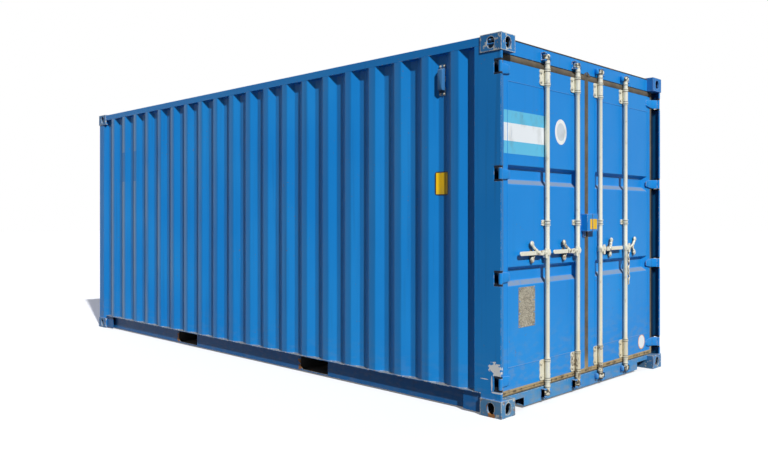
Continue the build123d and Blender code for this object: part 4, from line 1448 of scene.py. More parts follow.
@dataclass
class SideWall:
    """Folded side sheet with bent folds and its weld to the bottom rail.

    The wear and painted sheen of the bends grow from the X of rub_sheen_start over a run towards the front.
    Their spread is their half width and what the full amount adds to that, and their shift is how far the full
    amount lies past its bend.
    """

    side: Side
    palette: Palette
    fold: FoldLine = field(default_factory=lambda: FoldLine(21, 0.068, 0.072, 0.036))
    sheet: float = 0.002
    bend_reach: float = 0.007
    rows: int = 22
    fillet: float = 0.005
    fillet_gap: float = 0.01
    rub_sheen_start: float = 0.2
    rub_sheen_run: float = 2.4
    rub_sheen_least: float = 0.1
    rub_sheen_spread: Pair = (0.009, 0.022)
    rub_sheen_shift: float = 0.018

    @property
    def node(self) -> str:
        """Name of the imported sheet."""
        return self.side.own("side_wall")

    @property
    def pitch(self) -> float:
        """Distance from one recess to the next."""
        low, high = box_of(self.node)
        return (high[0] - low[0] - self.fold.slope - self.fold.flat) / (self.fold.recesses - 1)

    def build(self) -> None:
        """Makes the sheet and the weld at its foot."""
        sheet, weld = self.sheet_surface(), self.foot_weld()
        make_piece(f"{self.node}_sheet", sheet, BOX_BODY, self.palette.wall, (self.node,))
        make_piece(f"{self.node}_foot_weld", weld, BOX_BODY, self.palette.rail)

    def outer(self) -> float:
        """Distance of the outer face from the middle plane."""
        low, high = box_of(self.node)
        return max(abs(low[1]), abs(high[1]))

    def line(self) -> np.ndarray:
        """Bent run of the folds: place along X and depth."""
        starts = box_of(self.node)[0][0] + self.pitch * np.arange(self.fold.recesses)
        return rounded_line(self.fold.corners(starts)[:-1], self.bend_reach)

    def rub_and_sheen_marks(self, along: np.ndarray) -> np.ndarray:
        """Wear and painted sheen on each recess's closing outer bend: a bell curve of the distance from that
        bend.

        It is stronger, wider and further past the bend towards the front.

        Args:
            along: Places along X.

        Returns:
            Wear and painted sheen at each place.
        """
        half = self.pitch / 2
        first_bend = box_of(self.node)[0][0] + self.fold.length
        past = np.mod(along - first_bend + half, self.pitch) - half
        grown = np.clip((self.rub_sheen_start - along) / self.rub_sheen_run, self.rub_sheen_least, 1.0)
        spread = self.rub_sheen_spread[0] + self.rub_sheen_spread[1] * grown
        return np.exp(-(((past - self.rub_sheen_shift * grown) / spread) ** 2)) * grown

    def sheet_surface(self) -> Surface:
        """The sheet in two lengths: beside the front casting, with its own foot and top, and the rest.

        Returns:
            Both lengths.
        """
        rail_low, rail_high = box_of("left_bottom_rail")
        low, high = box_of(self.node)
        casting_end = rail_low[0]
        post_top = box_of("left_front_post")[1][2]
        line = self.line()
        cut = np.array([[casting_end, np.interp(casting_end, line[:, 0], line[:, 1])]])
        strip = np.concatenate([line[line[:, 0] < casting_end], cut])
        rest = np.concatenate([cut, line[line[:, 0] > casting_end]])
        axes = np.stack([X_AXIS, -self.side.out * Y_AXIS, Z_AXIS])
        origin = (0.0, self.side.out * self.outer(), 0.0)
        parts = []
        for run, foot, top in ((strip, low[2], post_top), (rest, rail_high[2], high[2])):
            across = np.linspace(foot, top, self.rows)
            deep = run[None, :, 1] + sheet_waves(run[:, 0], across)
            part = sheet_skin(run[:, 0], across, deep, axes, origin, self.sheet)
            ring = np.concatenate([run[:, 0], run[::-1, 0]])
            part.marks["rub"] = np.tile(self.rub_and_sheen_marks(ring), self.rows)
            parts.append(part)
        return Surface.joined(parts)

    def foot_weld(self) -> Surface:
        """Fillet along the folds on the bottom rail: a quarter circle carried along the run of the sheet.

        Returns:
            The fillet.
        """
        rail_low, rail_high = box_of("left_bottom_rail")
        line = self.line()
        line = line[line[:, 0] > rail_low[0] + self.fillet_gap]
        run = np.gradient(line, axis=0)
        run = run / np.linalg.norm(run, axis=1)[:, None]
        level = np.zeros(len(line))
        y = self.side.out * (self.outer() - line[:, 1])
        foot = np.stack([line[:, 0], y, level + rail_high[2]], axis=-1)
        away = np.stack([run[:, 1], self.side.out * run[:, 0], level], axis=-1)
        turn = np.linspace(0.0, math.pi / 2, 4)[None, :, None]
        arc = foot[:, None] + self.fillet * (np.cos(turn) * away[:, None] + np.sin(turn) * Z_AXIS)
        return loft(np.concatenate([foot[:, None], arc], axis=1))


@dataclass
class Ventilators:
    """Hoods of the two side vents: a flange bolted above and below, and a hood with slanted ends.

    The flange has a width, a thickness and a corner radius. Each section of the hood has its height off the
    recess floor, its width, and its distances from the flange's foot and top. The gaps of the bolts are from
    the middle, the flange's foot and its top.
    """

    palette: Palette
    middles: Pair = (2.4827, -2.5267)
    recess_face: float = 1.177
    flange: Point = (0.064, 0.003, 0.006)
    hood: tuple[tuple[float, float, float, float], ...] = (
        (0.002, 0.050, 0.022, 0.028),
        (0.024, 0.047, 0.034, 0.034),
        (0.032, 0.043, 0.040, 0.040),
        (0.034, 0.038, 0.044, 0.044),
    )
    hood_corner: float = 0.005
    bolt: Pair = (0.0065, 0.007)
    bolt_gaps: Point = (0.018, 0.011, 0.012)

    def build(self) -> None:
        """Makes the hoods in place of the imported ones, and their bolts."""
        low, high = box_of("side_vents")
        tall = high[2] - low[2]
        wide, thick, corner = self.flange
        apart, above, below = self.bolt_gaps
        hoods, bolts = [], []
        for side, middle in zip(Side, self.middles):
            axis, right = side.out * Y_AXIS, -side.out * X_AXIS
            place = np.array([middle, side.out * self.recess_face, (low[2] + high[2]) / 2])
            hoods.append(slab(rounded_rectangle(wide, tall, corner), place, right, Z_AXIS, thick))
            sections = []
            for rise, width, foot, top in self.hood:
                outline = rounded_rectangle(width, tall - foot - top, self.hood_corner)
                spot = place + rise * axis + 0.5 * (foot - top) * Z_AXIS
                sections.append(spot + outline[:, :1] * right + outline[:, 1:] * Z_AXIS)
            hoods.append(loft(np.stack(sections)))
            spots = grid_of([-apart, apart], [above - tall / 2, tall / 2 - below])
            spots = place + thick * axis + spots @ np.stack([right, Z_AXIS])
            bolts.append(hex_bolt(*self.bolt).copies(spots, axis))
        hood, finish = Surface.joined(hoods), self.palette
        make_piece("vent_hoods", hood, BOX_BODY, finish.vent, ("side_vents",))
        make_piece("vent_bolts", Surface.joined(bolts), BOX_BODY, finish.bolt)


@dataclass
class EndAndRoof:
    """Folded front wall and roof sheet with bent folds, the roof a drop below its packed top."""

    palette: Palette
    front_fold: FoldLine = field(default_factory=lambda: FoldLine(8, 0.018, 0.110, 0.045))
    roof_fold: FoldLine = field(default_factory=lambda: FoldLine(27, 0.015, 0.091, 0.020))
    sheet: float = 0.002
    front_bend: float = 0.008
    roof_bend: float = 0.006
    roof_drop: float = 0.0008

    def build(self) -> None:
        """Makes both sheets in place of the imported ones."""
        low, high = box_of("front_wall")
        line = rounded_line(self.front_fold.even(low[1], high[1]), self.front_bend)
        across = np.linspace(low[2], high[2], 16)
        skin = self.folded(line, across, np.stack([Y_AXIS, X_AXIS, Z_AXIS]), low[0] * X_AXIS)
        skin.marks["rub"] = np.zeros(len(skin.points))
        make_piece("front_wall_sheet", skin, BOX_BODY, self.palette.wall, ("front_wall",))
        low, high = box_of("roof_panel")
        line = rounded_line(self.roof_fold.even(low[0], high[0]), self.roof_bend)
        across = np.linspace(low[1], high[1], 12)
        top = (high[2] - self.roof_drop) * Z_AXIS
        skin = self.folded(line, across, np.stack([X_AXIS, -Z_AXIS, Y_AXIS]), top)
        make_piece("roof_sheet", skin, BOX_BODY, self.palette.roof, ("roof_panel",))

    def folded(self, line: np.ndarray, across: np.ndarray, axes: np.ndarray, origin: np.ndarray) -> Surface:
        """Sheet with the depth of its folds plus the slight waves of welded sheet."""
        deep = line[None, :, 1] + sheet_waves(line[:, 0], across)
        return sheet_skin(line[:, 0], across, deep, axes, origin, self.sheet)


@dataclass
class Underframe:
    """Floor boards, cross members, fork pockets, and screws with the radius and height of their heads."""

    palette: Palette
    board_rounding: float = 0.001
    steel_rounding: float = 0.0015
    screw: Pair = (0.0065, 0.0012)
    screw_grid: tuple[int, int] = (18, 18)
    screw_margin: Pair = (0.09, 0.06)

    def build(self) -> None:
        """Dresses the nodes and adds the screws."""
        dress("floor_boards", self.palette.wood, self.board_rounding, 1)
        for node in ("cross_members", "fork_pockets"):
            dress(node, self.palette.underseal, self.steel_rounding, 1)
        low, high = box_of("floor_boards")
        x, y = (
            np.linspace(low[axis] + margin, high[axis] - margin, count)
            for axis, margin, count in zip((0, 1), self.screw_margin, self.screw_grid)
        )
        screws = rivet(*self.screw).copies(grid_of(x, y, [high[2]]), Z_AXIS)
        make_piece("floor_screws", screws, BOX_BODY, self.palette.bolt)


@dataclass
class DoorLeaf:
    """One door: pressed panel, seal, frame tubes, hinges, brackets, catches and lock box.

    Levels are heights, and bars are distances from the seam. A recess has slopes at its foot and ends, and a
    steeper brow at its top.

    Attributes of several values, or whose names don't say all:
        bolts: Distance from the bar, radius and height of the bolts in brackets and in clamps.
        collars: Foot, top and radius of each sleeve and collar on a bar.
        seal_lip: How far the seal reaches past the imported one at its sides, foot and top.
        seal_seat: Depth of the bulge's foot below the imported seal's face.
        seal_bulge: How far the seal bulges at the foot, at the seam, at the top and at the hinges.
        seal_groove: Depth of the groove in the seal on the same four runs.
        seal_lap: How far the seal laps over the leaf at the foot, at the top, at the seam and at the hinges.
        peak_face: X of the moulded ear at the seal's upper inner corner.
        brackets: Foot, top, half width and ring height of each bracket on a bar.
        sleeve: Radii of a bracket's bore, its sleeve and its rings.
        neck: Height of the neck between sleeve and ring, and its wall over the bore.
        wing: Thickness of a bracket's plate.
        hook: Knob, bend and foot of a hook's arm, off the leaf, away from the bar and up from the catch.
        hook_rest: Distance from the leaf of a hook that lies flat.
        strap: Ends of the strap on a handle, away from the bar from the catch.
        lobes: Middle and half sizes of a catch's lobes, in the hook's three directions.
        hinge_pin: Place of the hinge pins, along X and from the seam.
        knuckle: Radii of a hinge knuckle's bore and ring, and its height.
        blade: Sections of a hinge blade from its nose to the pin: the inner face's X and distance from the
            seam, the outer face's, and the height.
    """

    side: Side
    palette: Palette
    panel_sheet: float = 0.003
    recess_levels: Pair = (0.939, 1.645)
    recess_height: float = 0.132
    recess_slope: float = 0.036
    recess_brow: float = 0.020
    recess_margin: float = 0.008
    recess_shoulder: float = 0.2
    bars: Pair = (0.603, 0.175)
    catch_offset: float = 0.177
    handle_level: float = 1.095
    bracket_bolts: tuple[float, ...] = (0.195, 0.285, 2.334, 2.401)
    clamp_level: float = 1.310
    bolts: tuple[Point, Point] = ((0.053, 0.010, 0.009), (0.030, 0.0045, 0.006))
    bar_standoff: float = 0.026
    collars: tuple[Point, ...] = (
        (0.104, 0.1645, 0.0195),
        (0.114, 0.124, 0.0225),
        (0.150, 0.1645, 0.0225),
        (2.4255, 2.492, 0.0195),
        (2.4255, 2.440, 0.0215),
        (2.462, 2.472, 0.0215),
    )
    collar_edge: float = 0.0015
    pin_offset: float = 0.040
    pin_height: float = 0.0195
    seal_lip: Point = (0.004, 0.004, 0.005)
    seal_seat: float = 0.004
    seal_bulge: tuple[float, ...] = (0.0125, 0.012, 0.0135, 0.0125)
    seal_groove: tuple[float, ...] = (0.004, 0.0, 0.0, 0.0)
    seal_lap: tuple[float, float, float, float] = (0.007, 0.009, 0.009, 0.015)
    peak_face: float = 2.9735
    brackets: tuple[tuple[float, float, float, float], ...] = (
        (0.165, 0.315, 0.070, 0.012),
        (1.2895, 1.3305, 0.046, 0.008),
        (2.310, 2.425, 0.070, 0.012),
    )
    sleeve: Point = (0.0176, 0.0205, 0.0232)
    neck: Pair = (0.005, 0.0006)
    wing: float = 0.006
    scallop: float = 0.0045
    hook: tuple[Point, Point, Point] = (
        (0.0205, 0.015, 0.066),
        (0.020, 0.000, 0.032),
        (0.0425, -0.042, 0.003),
    )
    hook_rest: float = 0.0135
    hook_radius: float = 0.0125
    strap: Pair = (-0.100, -0.018)
    lobes: tuple[tuple[Point, Point], ...] = (
        ((0.014, 0.002, -0.047), (0.0135, 0.022, 0.026)),
        ((0.016, -0.014, -0.026), (0.0105, 0.010, 0.012)),
    )
    hinge_pin: Pair = (3.009, 1.199)
    knuckle: Point = (0.0093, 0.014, 0.078)
    knuckle_edge: float = 0.002
    blade: tuple[tuple[float, float, float, float, float], ...] = (
        (2.969, 1.0370, 2.9710, 1.0370, 0.034),
        (2.969, 1.0430, 2.9765, 1.0430, 0.050),
        (2.969, 1.0560, 2.9820, 1.0560, 0.060),
        (2.969, 1.0800, 2.9825, 1.0800, 0.067),
        (2.969, 1.1250, 2.9795, 1.1250, 0.075),
        (2.969, 1.1590, 2.9820, 1.1590, 0.078),
        (2.9971, 1.1938, 3.0087, 1.1860, 0.078),
    )
    blade_corner: float = 0.0055

    @property
    def face(self) -> float:
        """X of the leaf's outer face."""
        return float(box_of(self.side.own("door_panel"))[1][0])

    def build(self) -> None:
        """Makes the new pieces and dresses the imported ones."""
        finish = self.palette
        seal = Surface.joined([self.seal_surface(), self.seal_peak()])
        self.add("door_sheet", self.panel_surface(), Slot.PAINT, finish.door, "door_panel")
        self.add("door_seal", seal, Slot.RUBBER, finish.rubber, "door_gasket")
        self.add("door_welds", self.weld_surface(), Slot.PAINT, finish.door)
        self.add("bracket_bolts", self.bolt_surface(), Slot.ZINC, finish.bolt)
        self.add("catch_forgings", self.catch_surface(), Slot.ZINC, finish.catch, "handle_catches")
        for place, bar in zip(("outer", "inner"), self.bars):
            self.build_bar(place, bar)
        self.add("bracket_forgings", self.bracket_surface(), Slot.ZINC, finish.zinc, "bar_brackets")
        self.add("hinge_forgings", self.hinge_surface(), Slot.PAINT, finish.gear_blue, "hinge_blades")
        dress(self.side.own("door_stiles"), finish.door, 0.004)
        dress(self.side.own("door_rails"), finish.door, 0.002)
        dress(self.side.own("lock_box_half"), finish.gear_blue, 0.003)
        if self.side is Side.LEFT:
            make_piece("lock_box_tab", self.box_tab(), self.side.door, finish.gear_blue)

    def add(
        self, name: str, surface: Surface, slot: Slot, finish: bpy.types.Material, stands_for: str = ""
    ) -> None:
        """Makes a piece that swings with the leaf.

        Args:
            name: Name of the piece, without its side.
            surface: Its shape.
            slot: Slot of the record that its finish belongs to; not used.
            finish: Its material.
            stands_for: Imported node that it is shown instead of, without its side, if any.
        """
        shown_for = (self.side.own(stands_for),) if stands_for else ()
        make_piece(self.side.own(name), surface, self.side.door, finish, shown_for)

    def build_bar(self, place: str, bar: float) -> None:
        """Makes the fittings of a bar, the hook of its handle and, where it hangs loose, the handle.

        Args:
            place: Whether the bar is the outer or the inner one.
            bar: Its distance from the seam.
        """
        zinc, dirty = self.palette.zinc, self.palette.catch
        body, lever, handle = (self.side.own(f"{place}_{part}") for part in ("lock_bar", "lever", "handle"))
        hanging = (self.side, place) == (Side.RIGHT, "outer")
        holder = self.side.door if hanging else lever
        hook = self.hook_surface(bar, not hanging)
        make_piece(self.side.own(f"{place}_bar_collars"), self.bar_fittings(bar), body, zinc)
        make_piece(self.side.own(f"{place}_catch_hook"), hook, holder, dirty)
        dress(self.side.own(f"{place}_bar"), zinc, 0.0015)
        if hanging:
            make_piece("bent_handle", self.loose_handle(), lever, dirty, (handle,))
        else:
            dress(handle, zinc, 0.0025)

    def panel_surface(self) -> Surface:
        """Pressed panel: depth times a ramp of the distance inside the nearest edge of a recess.

        The ramp rises in a straight slope with rounded shoulders.

        Returns:
            The panel.
        """
        low, high = box_of(self.side.own("door_panel"))
        near, far = sorted((abs(low[1]), abs(high[1])))
        slope, brow, half = self.recess_slope, self.recess_brow, self.recess_height / 2
        share = np.linspace(-0.3, 1.3, 17)
        ends = self.recess_margin + share * slope
        along = np.concatenate([np.linspace(near, far, 20), near + ends, far - ends])
        along = np.unique(np.round(np.clip(along, near, far), 5))
        levels = np.array(self.recess_levels)[:, None]
        slopes = np.concatenate([levels - half + share * slope, levels + half - share * brow])
        across = np.concatenate([np.linspace(low[2], high[2], 24), slopes.ravel()])
        across = np.unique(np.round(across, 5))
        above_foot = (across[None, :] - levels + half) / slope
        below_brow = (levels + half - across[None, :]) / brow
        inside_z = np.minimum(above_foot, below_brow).max(axis=0)
        inside_y = (np.minimum(along - near, far - along) - self.recess_margin) / slope
        reach = np.minimum(inside_z[:, None], inside_y[None, :])
        corners = np.array([[-2.0, 0.0], [0.0, 0.0], [1.0, 1.0], [3.0, 1.0]])
        ramp = rounded_line(corners, self.recess_shoulder)
        depth = high[0] - low[0] - self.panel_sheet
        deep = depth * np.interp(reach, ramp[:, 0], ramp[:, 1])
        axes = np.stack([self.side.out * Y_AXIS, -X_AXIS, Z_AXIS])
        return sheet_skin(along, across, deep, axes, high[0] * X_AXIS, self.panel_sheet)

    def seal_surface(self) -> Surface:
        """Seal round the leaf: a bulged strip with a groove, carried round from leaf's edge to frame's.

        A point of the strip runs round a rectangle that lies between the leaf's outline and the seal's own.
        Across the strip, at a share s of its width, the bulge is the root of 1 - (2s - 1) squared.

        Returns:
            The seal.
        """
        boxes = [box_of(self.side.own(f"door_{part}")) for part in ("stiles", "rails")]
        leaf = np.stack([np.minimum(boxes[0][0], boxes[1][0]), np.maximum(boxes[0][1], boxes[1][1])])
        leaf[:, 2] += np.array([self.seal_lap[0], -self.seal_lap[1]])
        seam, hinge = (1, 0) if self.side is Side.LEFT else (0, 1)
        leaf[seam, 1] += self.side.out * self.seal_lap[2]
        leaf[hinge, 1] -= self.side.out * self.seal_lap[3]
        beside, below, above = self.seal_lip
        seal = np.stack(box_of(self.side.own("door_gasket")))
        seal = seal + np.array([[0.0, -beside, -below], [0.0, beside, above]])
        s = np.linspace(0.0, 1.0, 21)
        curve = np.sqrt(1 - (2 * s - 1) ** 2)
        groove = np.exp(-(((s - 0.55) / 0.06) ** 2))
        reach = np.concatenate([s, [1.0, 0.0]])[None, :, None]
        corner = np.array([[0, 0], [1, 0], [1, 1], [0, 1], [0, 0]])
        steps = 24
        t = np.linspace(0.0, 1.0, steps, endpoint=False)[None, :, None]
        loops = []
        for box in (leaf, seal):
            turns = np.stack([box[corner[:, 0], 1], box[corner[:, 1], 2]], axis=-1)
            loops.append(((1 - t) * turns[:-1, None] + t * turns[1:, None]).reshape(-1, 1, 2))
        spread = (1 - reach) * loops[0] + reach * loops[1]
        order = [0, 1, 2, 3] if self.side is Side.LEFT else [0, 3, 2, 1]
        runs = (np.array(run)[order] for run in (self.seal_bulge, self.seal_groove))
        bulge, dent = (np.repeat(run, steps)[:, None] for run in runs)
        front = seal[1, 0] - self.seal_seat + bulge * curve - dent * groove
        back = np.full((len(front), 2), seal[0, 0])
        depth = np.concatenate([front, back], axis=1)[:, :, None]
        return loft(np.concatenate([depth, spread], axis=-1), loop=True)

    def seal_peak(self) -> Surface:
        """Moulded ear of the seal's upper inner corner, before the header: a small pointed plate.

        Returns:
            The ear.
        """
        low, high = box_of(self.side.own("door_gasket"))
        near = min(abs(low[1]), abs(high[1]))
        outline = np.array([[near, 0.0], [near + 0.048, 0.0], [near + 0.030, 0.018], [near, 0.034]])
        place = (self.peak_face, 0.0, high[2] - self.seal_lip[1])
        return slab(outline, place, self.side.out * Y_AXIS, Z_AXIS, 0.003)

    def weld_surface(self) -> Surface:
        """Low beads along the joint between the panel and the leaf's frame.

        Returns:
            The four beads.
        """
        low, high = box_of(self.side.own("door_panel"))
        x = high[0]
        corners = [(x, low[1], low[2]), (x, high[1], low[2]), (x, high[1], high[2]), (x, low[1], high[2])]
        pairs = zip(corners, corners[1:] + corners[:1])
        return Surface.joined([bead(start, stop, X_AXIS, 0.0026) for start, stop in pairs])

    def bolt_surface(self) -> Surface:
        """Bolts on both wings of the brackets and of the middle clamps.

        Returns:
            All bolts.
        """
        parts = []
        for levels, (offset, radius, height) in zip((self.bracket_bolts, (self.clamp_level,)), self.bolts):
            y = self.side.out * (np.array(self.bars)[:, None] + np.array([-offset, offset])).ravel()
            spots = grid_of([self.face + self.wing], y, levels)
            parts.append(hex_bolt(radius, height).copies(spots, X_AXIS))
        return Surface.joined(parts)

    def bracket_surface(self) -> Surface:
        """Brackets of the bars: a plate with scalloped edges, and a bored sleeve with a ring at each end.

        The plate's edge lies at half the width less a scallop times the absolute sine of the height, and
        less again near its ends.

        Returns:
            All brackets.
        """
        bore, sleeve, ring = self.sleeve
        gap, wall = self.neck
        v = np.linspace(-0.5, 0.5, 31)
        corner = 0.010 * np.maximum(np.abs(v) - 0.44, 0) / 0.06
        bite = self.scallop * np.abs(np.sin(3 * math.pi * v)) + corner
        parts = []
        for bar in self.bars:
            y = self.side.out * bar
            for foot, top, half, lip in self.brackets:
                edge = np.stack([half - bite, v * (top - foot)], axis=-1)
                middle = (self.face, y, (foot + top) / 2)
                parts.append(slab(np.concatenate([edge, -edge]), middle, Y_AXIS, Z_AXIS, self.wing))
                rise = np.array([0.0, lip, lip, lip + gap, lip + gap])
                radii = np.array([ring, ring, bore + wall, bore + wall, sleeve])
                lower = np.stack([radii, foot + rise], axis=-1)
                upper = np.stack([radii, top - rise], axis=-1)[::-1]
                profile = np.concatenate([lower, upper, [[bore, top], [bore, foot]]])
                parts.append(turned(profile, (self.face + self.bar_standoff, y)))
        return Surface.joined(parts)

    def hinge_surface(self) -> Surface:
        """Forged hinge blades: a ring about each pin, and an arm of rounded sections from nose to pin.

        Returns:
            All blades.
        """
        low, high = box_of(self.side.own("hinge_blades"))
        bore, rim, tall = self.knuckle
        sections = []
        for inner_x, inner_y, outer_x, outer_y, height in self.blade:
            inner = self.side.mirror * np.array([inner_x, inner_y, 0.0])
            outer = self.side.mirror * np.array([outer_x, outer_y, 0.0])
            thick = float(np.linalg.norm(outer - inner))
            outline = rounded_rectangle(thick, height, min(self.blade_corner, 0.45 * thick), 4)
            across = (outer - inner) / thick
            sections.append((inner + outer) / 2 + outline[:, :1] * across + outline[:, 1:] * Z_AXIS)
        half, edge = tall / 2, self.knuckle_edge
        lower = [(bore, -half), (rim - edge, -half), (rim, edge - half)]
        profile = np.array(lower + [(radius, -z) for radius, z in reversed(lower)])
        pin = (self.hinge_pin[0], self.side.out * self.hinge_pin[1])
        shapes = (loft(np.stack(sections)), turned(profile, pin))
        levels = (low[2] + half, *self.recess_levels, high[2] - half)
        return Surface.joined([Surface(s.points + z * Z_AXIS, s.faces) for z in levels for s in shapes])

    def at_catch(self, bar: float) -> np.ndarray:
        """Point of the leaf's face behind the middle of a bar's catch."""
        return np.array([self.face, self.side.out * (bar + self.catch_offset), self.handle_level])

    def catch_surface(self) -> Surface:
        """Forged catches: a foot plate with an egg-shaped lobe below the handle and a smaller one beside it.

        Returns:
            Both catches.
        """
        parts = []
        for bar in self.bars:
            place = self.at_catch(bar)
            plate = place - 0.018 * Z_AXIS
            parts.append(slab(rounded_rectangle(0.034, 0.088, 0.015), plate, Y_AXIS, Z_AXIS, 0.006))
            parts += [egg(place + self.side.mirror * np.array(spot), reach) for spot, reach in self.lobes]
        return Surface.joined(parts)

    def hook_surface(self, bar: float, strapped: bool) -> Surface:
        """Hook before a handle: a knob on a stout arm that leans down to the bar, and a strap on the handle.

        Args:
            bar: Distance of the bar from the seam.
            strapped: Whether a handle lies behind the hook, with the strap on it, or the hook lies flat.

        Returns:
            The hook.
        """
        place = self.at_catch(bar)
        flat = np.array([1.0 if strapped else 0.0, 1.0, 1.0])
        rest = (0.0 if strapped else self.hook_rest) * X_AXIS
        spots = (self.side.mirror * (flat * np.array(spot) + rest) for spot in self.hook)
        knob, corner, foot = (place + spot for spot in spots)
        path = bend(np.linspace(0.0, 1.0, 12)[:, None], knob, corner, foot)
        side = np.cross(foot - knob, Y_AXIS)
        arm = tube(path, side / np.linalg.norm(side), self.hook_radius, 12)
        parts = [arm, egg(knob, (0.0135, 0.021, 0.021)), egg(foot, (0.0125, 0.017, 0.015))]
        if strapped:
            near, far = self.strap
            outline = np.array([[far, -0.014], [near, -0.019], [near, 0.019], [far, 0.013]])
            spot = place + 0.0392 * X_AXIS
            parts.append(slab(outline * [self.side.out, 1.0], spot, Y_AXIS, Z_AXIS, 0.0052))
        return Surface.joined(parts)

    def loose_handle(self) -> Surface:
        """Bent handle that hangs from its pin: a rod that sways from side to side by two sine waves.

        Returns:
            The handle.
        """
        low, high = box_of("right_outer_handle")
        steps, gap = 60, 0.004
        t = np.linspace(0.0, 1.0, steps)
        sway = 0.0075 * np.sin(17.0 * t + 0.6) * np.sqrt(t) + 0.004 * np.sin(41.0 * t)
        y = (low[1] + high[1]) / 2 + 0.004 * t + sway
        x = np.full_like(t, (low[0] + high[0]) / 2)
        path = np.stack([x, y, high[2] - gap - t * (high[2] - low[2] - 2 * gap)], axis=-1)
        links = [egg(path[k], (0.0085, 0.011, 0.016)) for k in range(6, steps, 9)]
        return Surface.joined([tube(path, X_AXIS, 0.0062), *links])

    def bar_fittings(self, bar: float) -> Surface:
        """Sleeves and collars near both ends of a bar, the hub's cheek and tab, and its handle's pin head.

        A collar is a stack of circles about the bar's axis, the first and last a little smaller.

        Args:
            bar: Distance of the bar from the seam.

        Returns:
            All fittings of the bar.
        """
        x, out, edge = self.face + self.bar_standoff, self.side.out, self.collar_edge
        rings = []
        for foot, top, radius in self.collars:
            z = np.array([foot, foot + edge, top - edge, top])[:, None]
            r = radius - np.array([edge, 0.0, 0.0, edge])[:, None]
            rings.append(loft(circles(r, z, angles(24), (x, out * bar))))
        cheek = (x + self.pin_height - 0.005, out * (bar + 0.036), self.handle_level - 0.004)
        rings.append(slab(rounded_rectangle(0.030, 0.078, 0.009), cheek, Y_AXIS, Z_AXIS, 0.0045))
        tab = (x - 0.004, out * (bar + 0.040), self.handle_level - 0.028)
        rings.append(slab(rounded_rectangle(0.020, 0.022, 0.006), tab, Y_AXIS, Z_AXIS, 0.018))
        head = [[x + self.pin_height - 0.0005, out * (bar + self.pin_offset), self.handle_level]]
        rings.append(hex_bolt(0.0080, 0.006).copies(np.array(head), X_AXIS))
        return Surface.joined(rings)

    def box_tab(self) -> Surface:
        """Small plate below the lock box's left half."""
        low = box_of("left_lock_box_half")[0]
        place = (low[0] + 0.006, -0.048, low[2] - 0.019)
        return slab(rounded_rectangle(0.040, 0.046, 0.006), place, Y_AXIS, Z_AXIS, 0.005)


@dataclass(frozen=True)
class Film:
    """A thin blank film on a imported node's outer face, with rounded corners or, where that is 0, an oval."""

    piece: str
    side: Side
    node: str
    finish: StickerFinish
    corner: float = 0.0

    def build(self, thickness: float) -> None:
        """Lays the film on its door.

        Args:
            thickness: Thickness of the film.
        """
        size = self.finish.size
        outline = rounded_rectangle(*size, self.corner) if self.corner else oval(*size)
        place = (box_of(self.node)[1][0], *self.finish.centre)
        film = slab(outline, place, Y_AXIS, Z_AXIS, thickness)
        make_piece(self.piece, film, self.side.door, self.finish.material())


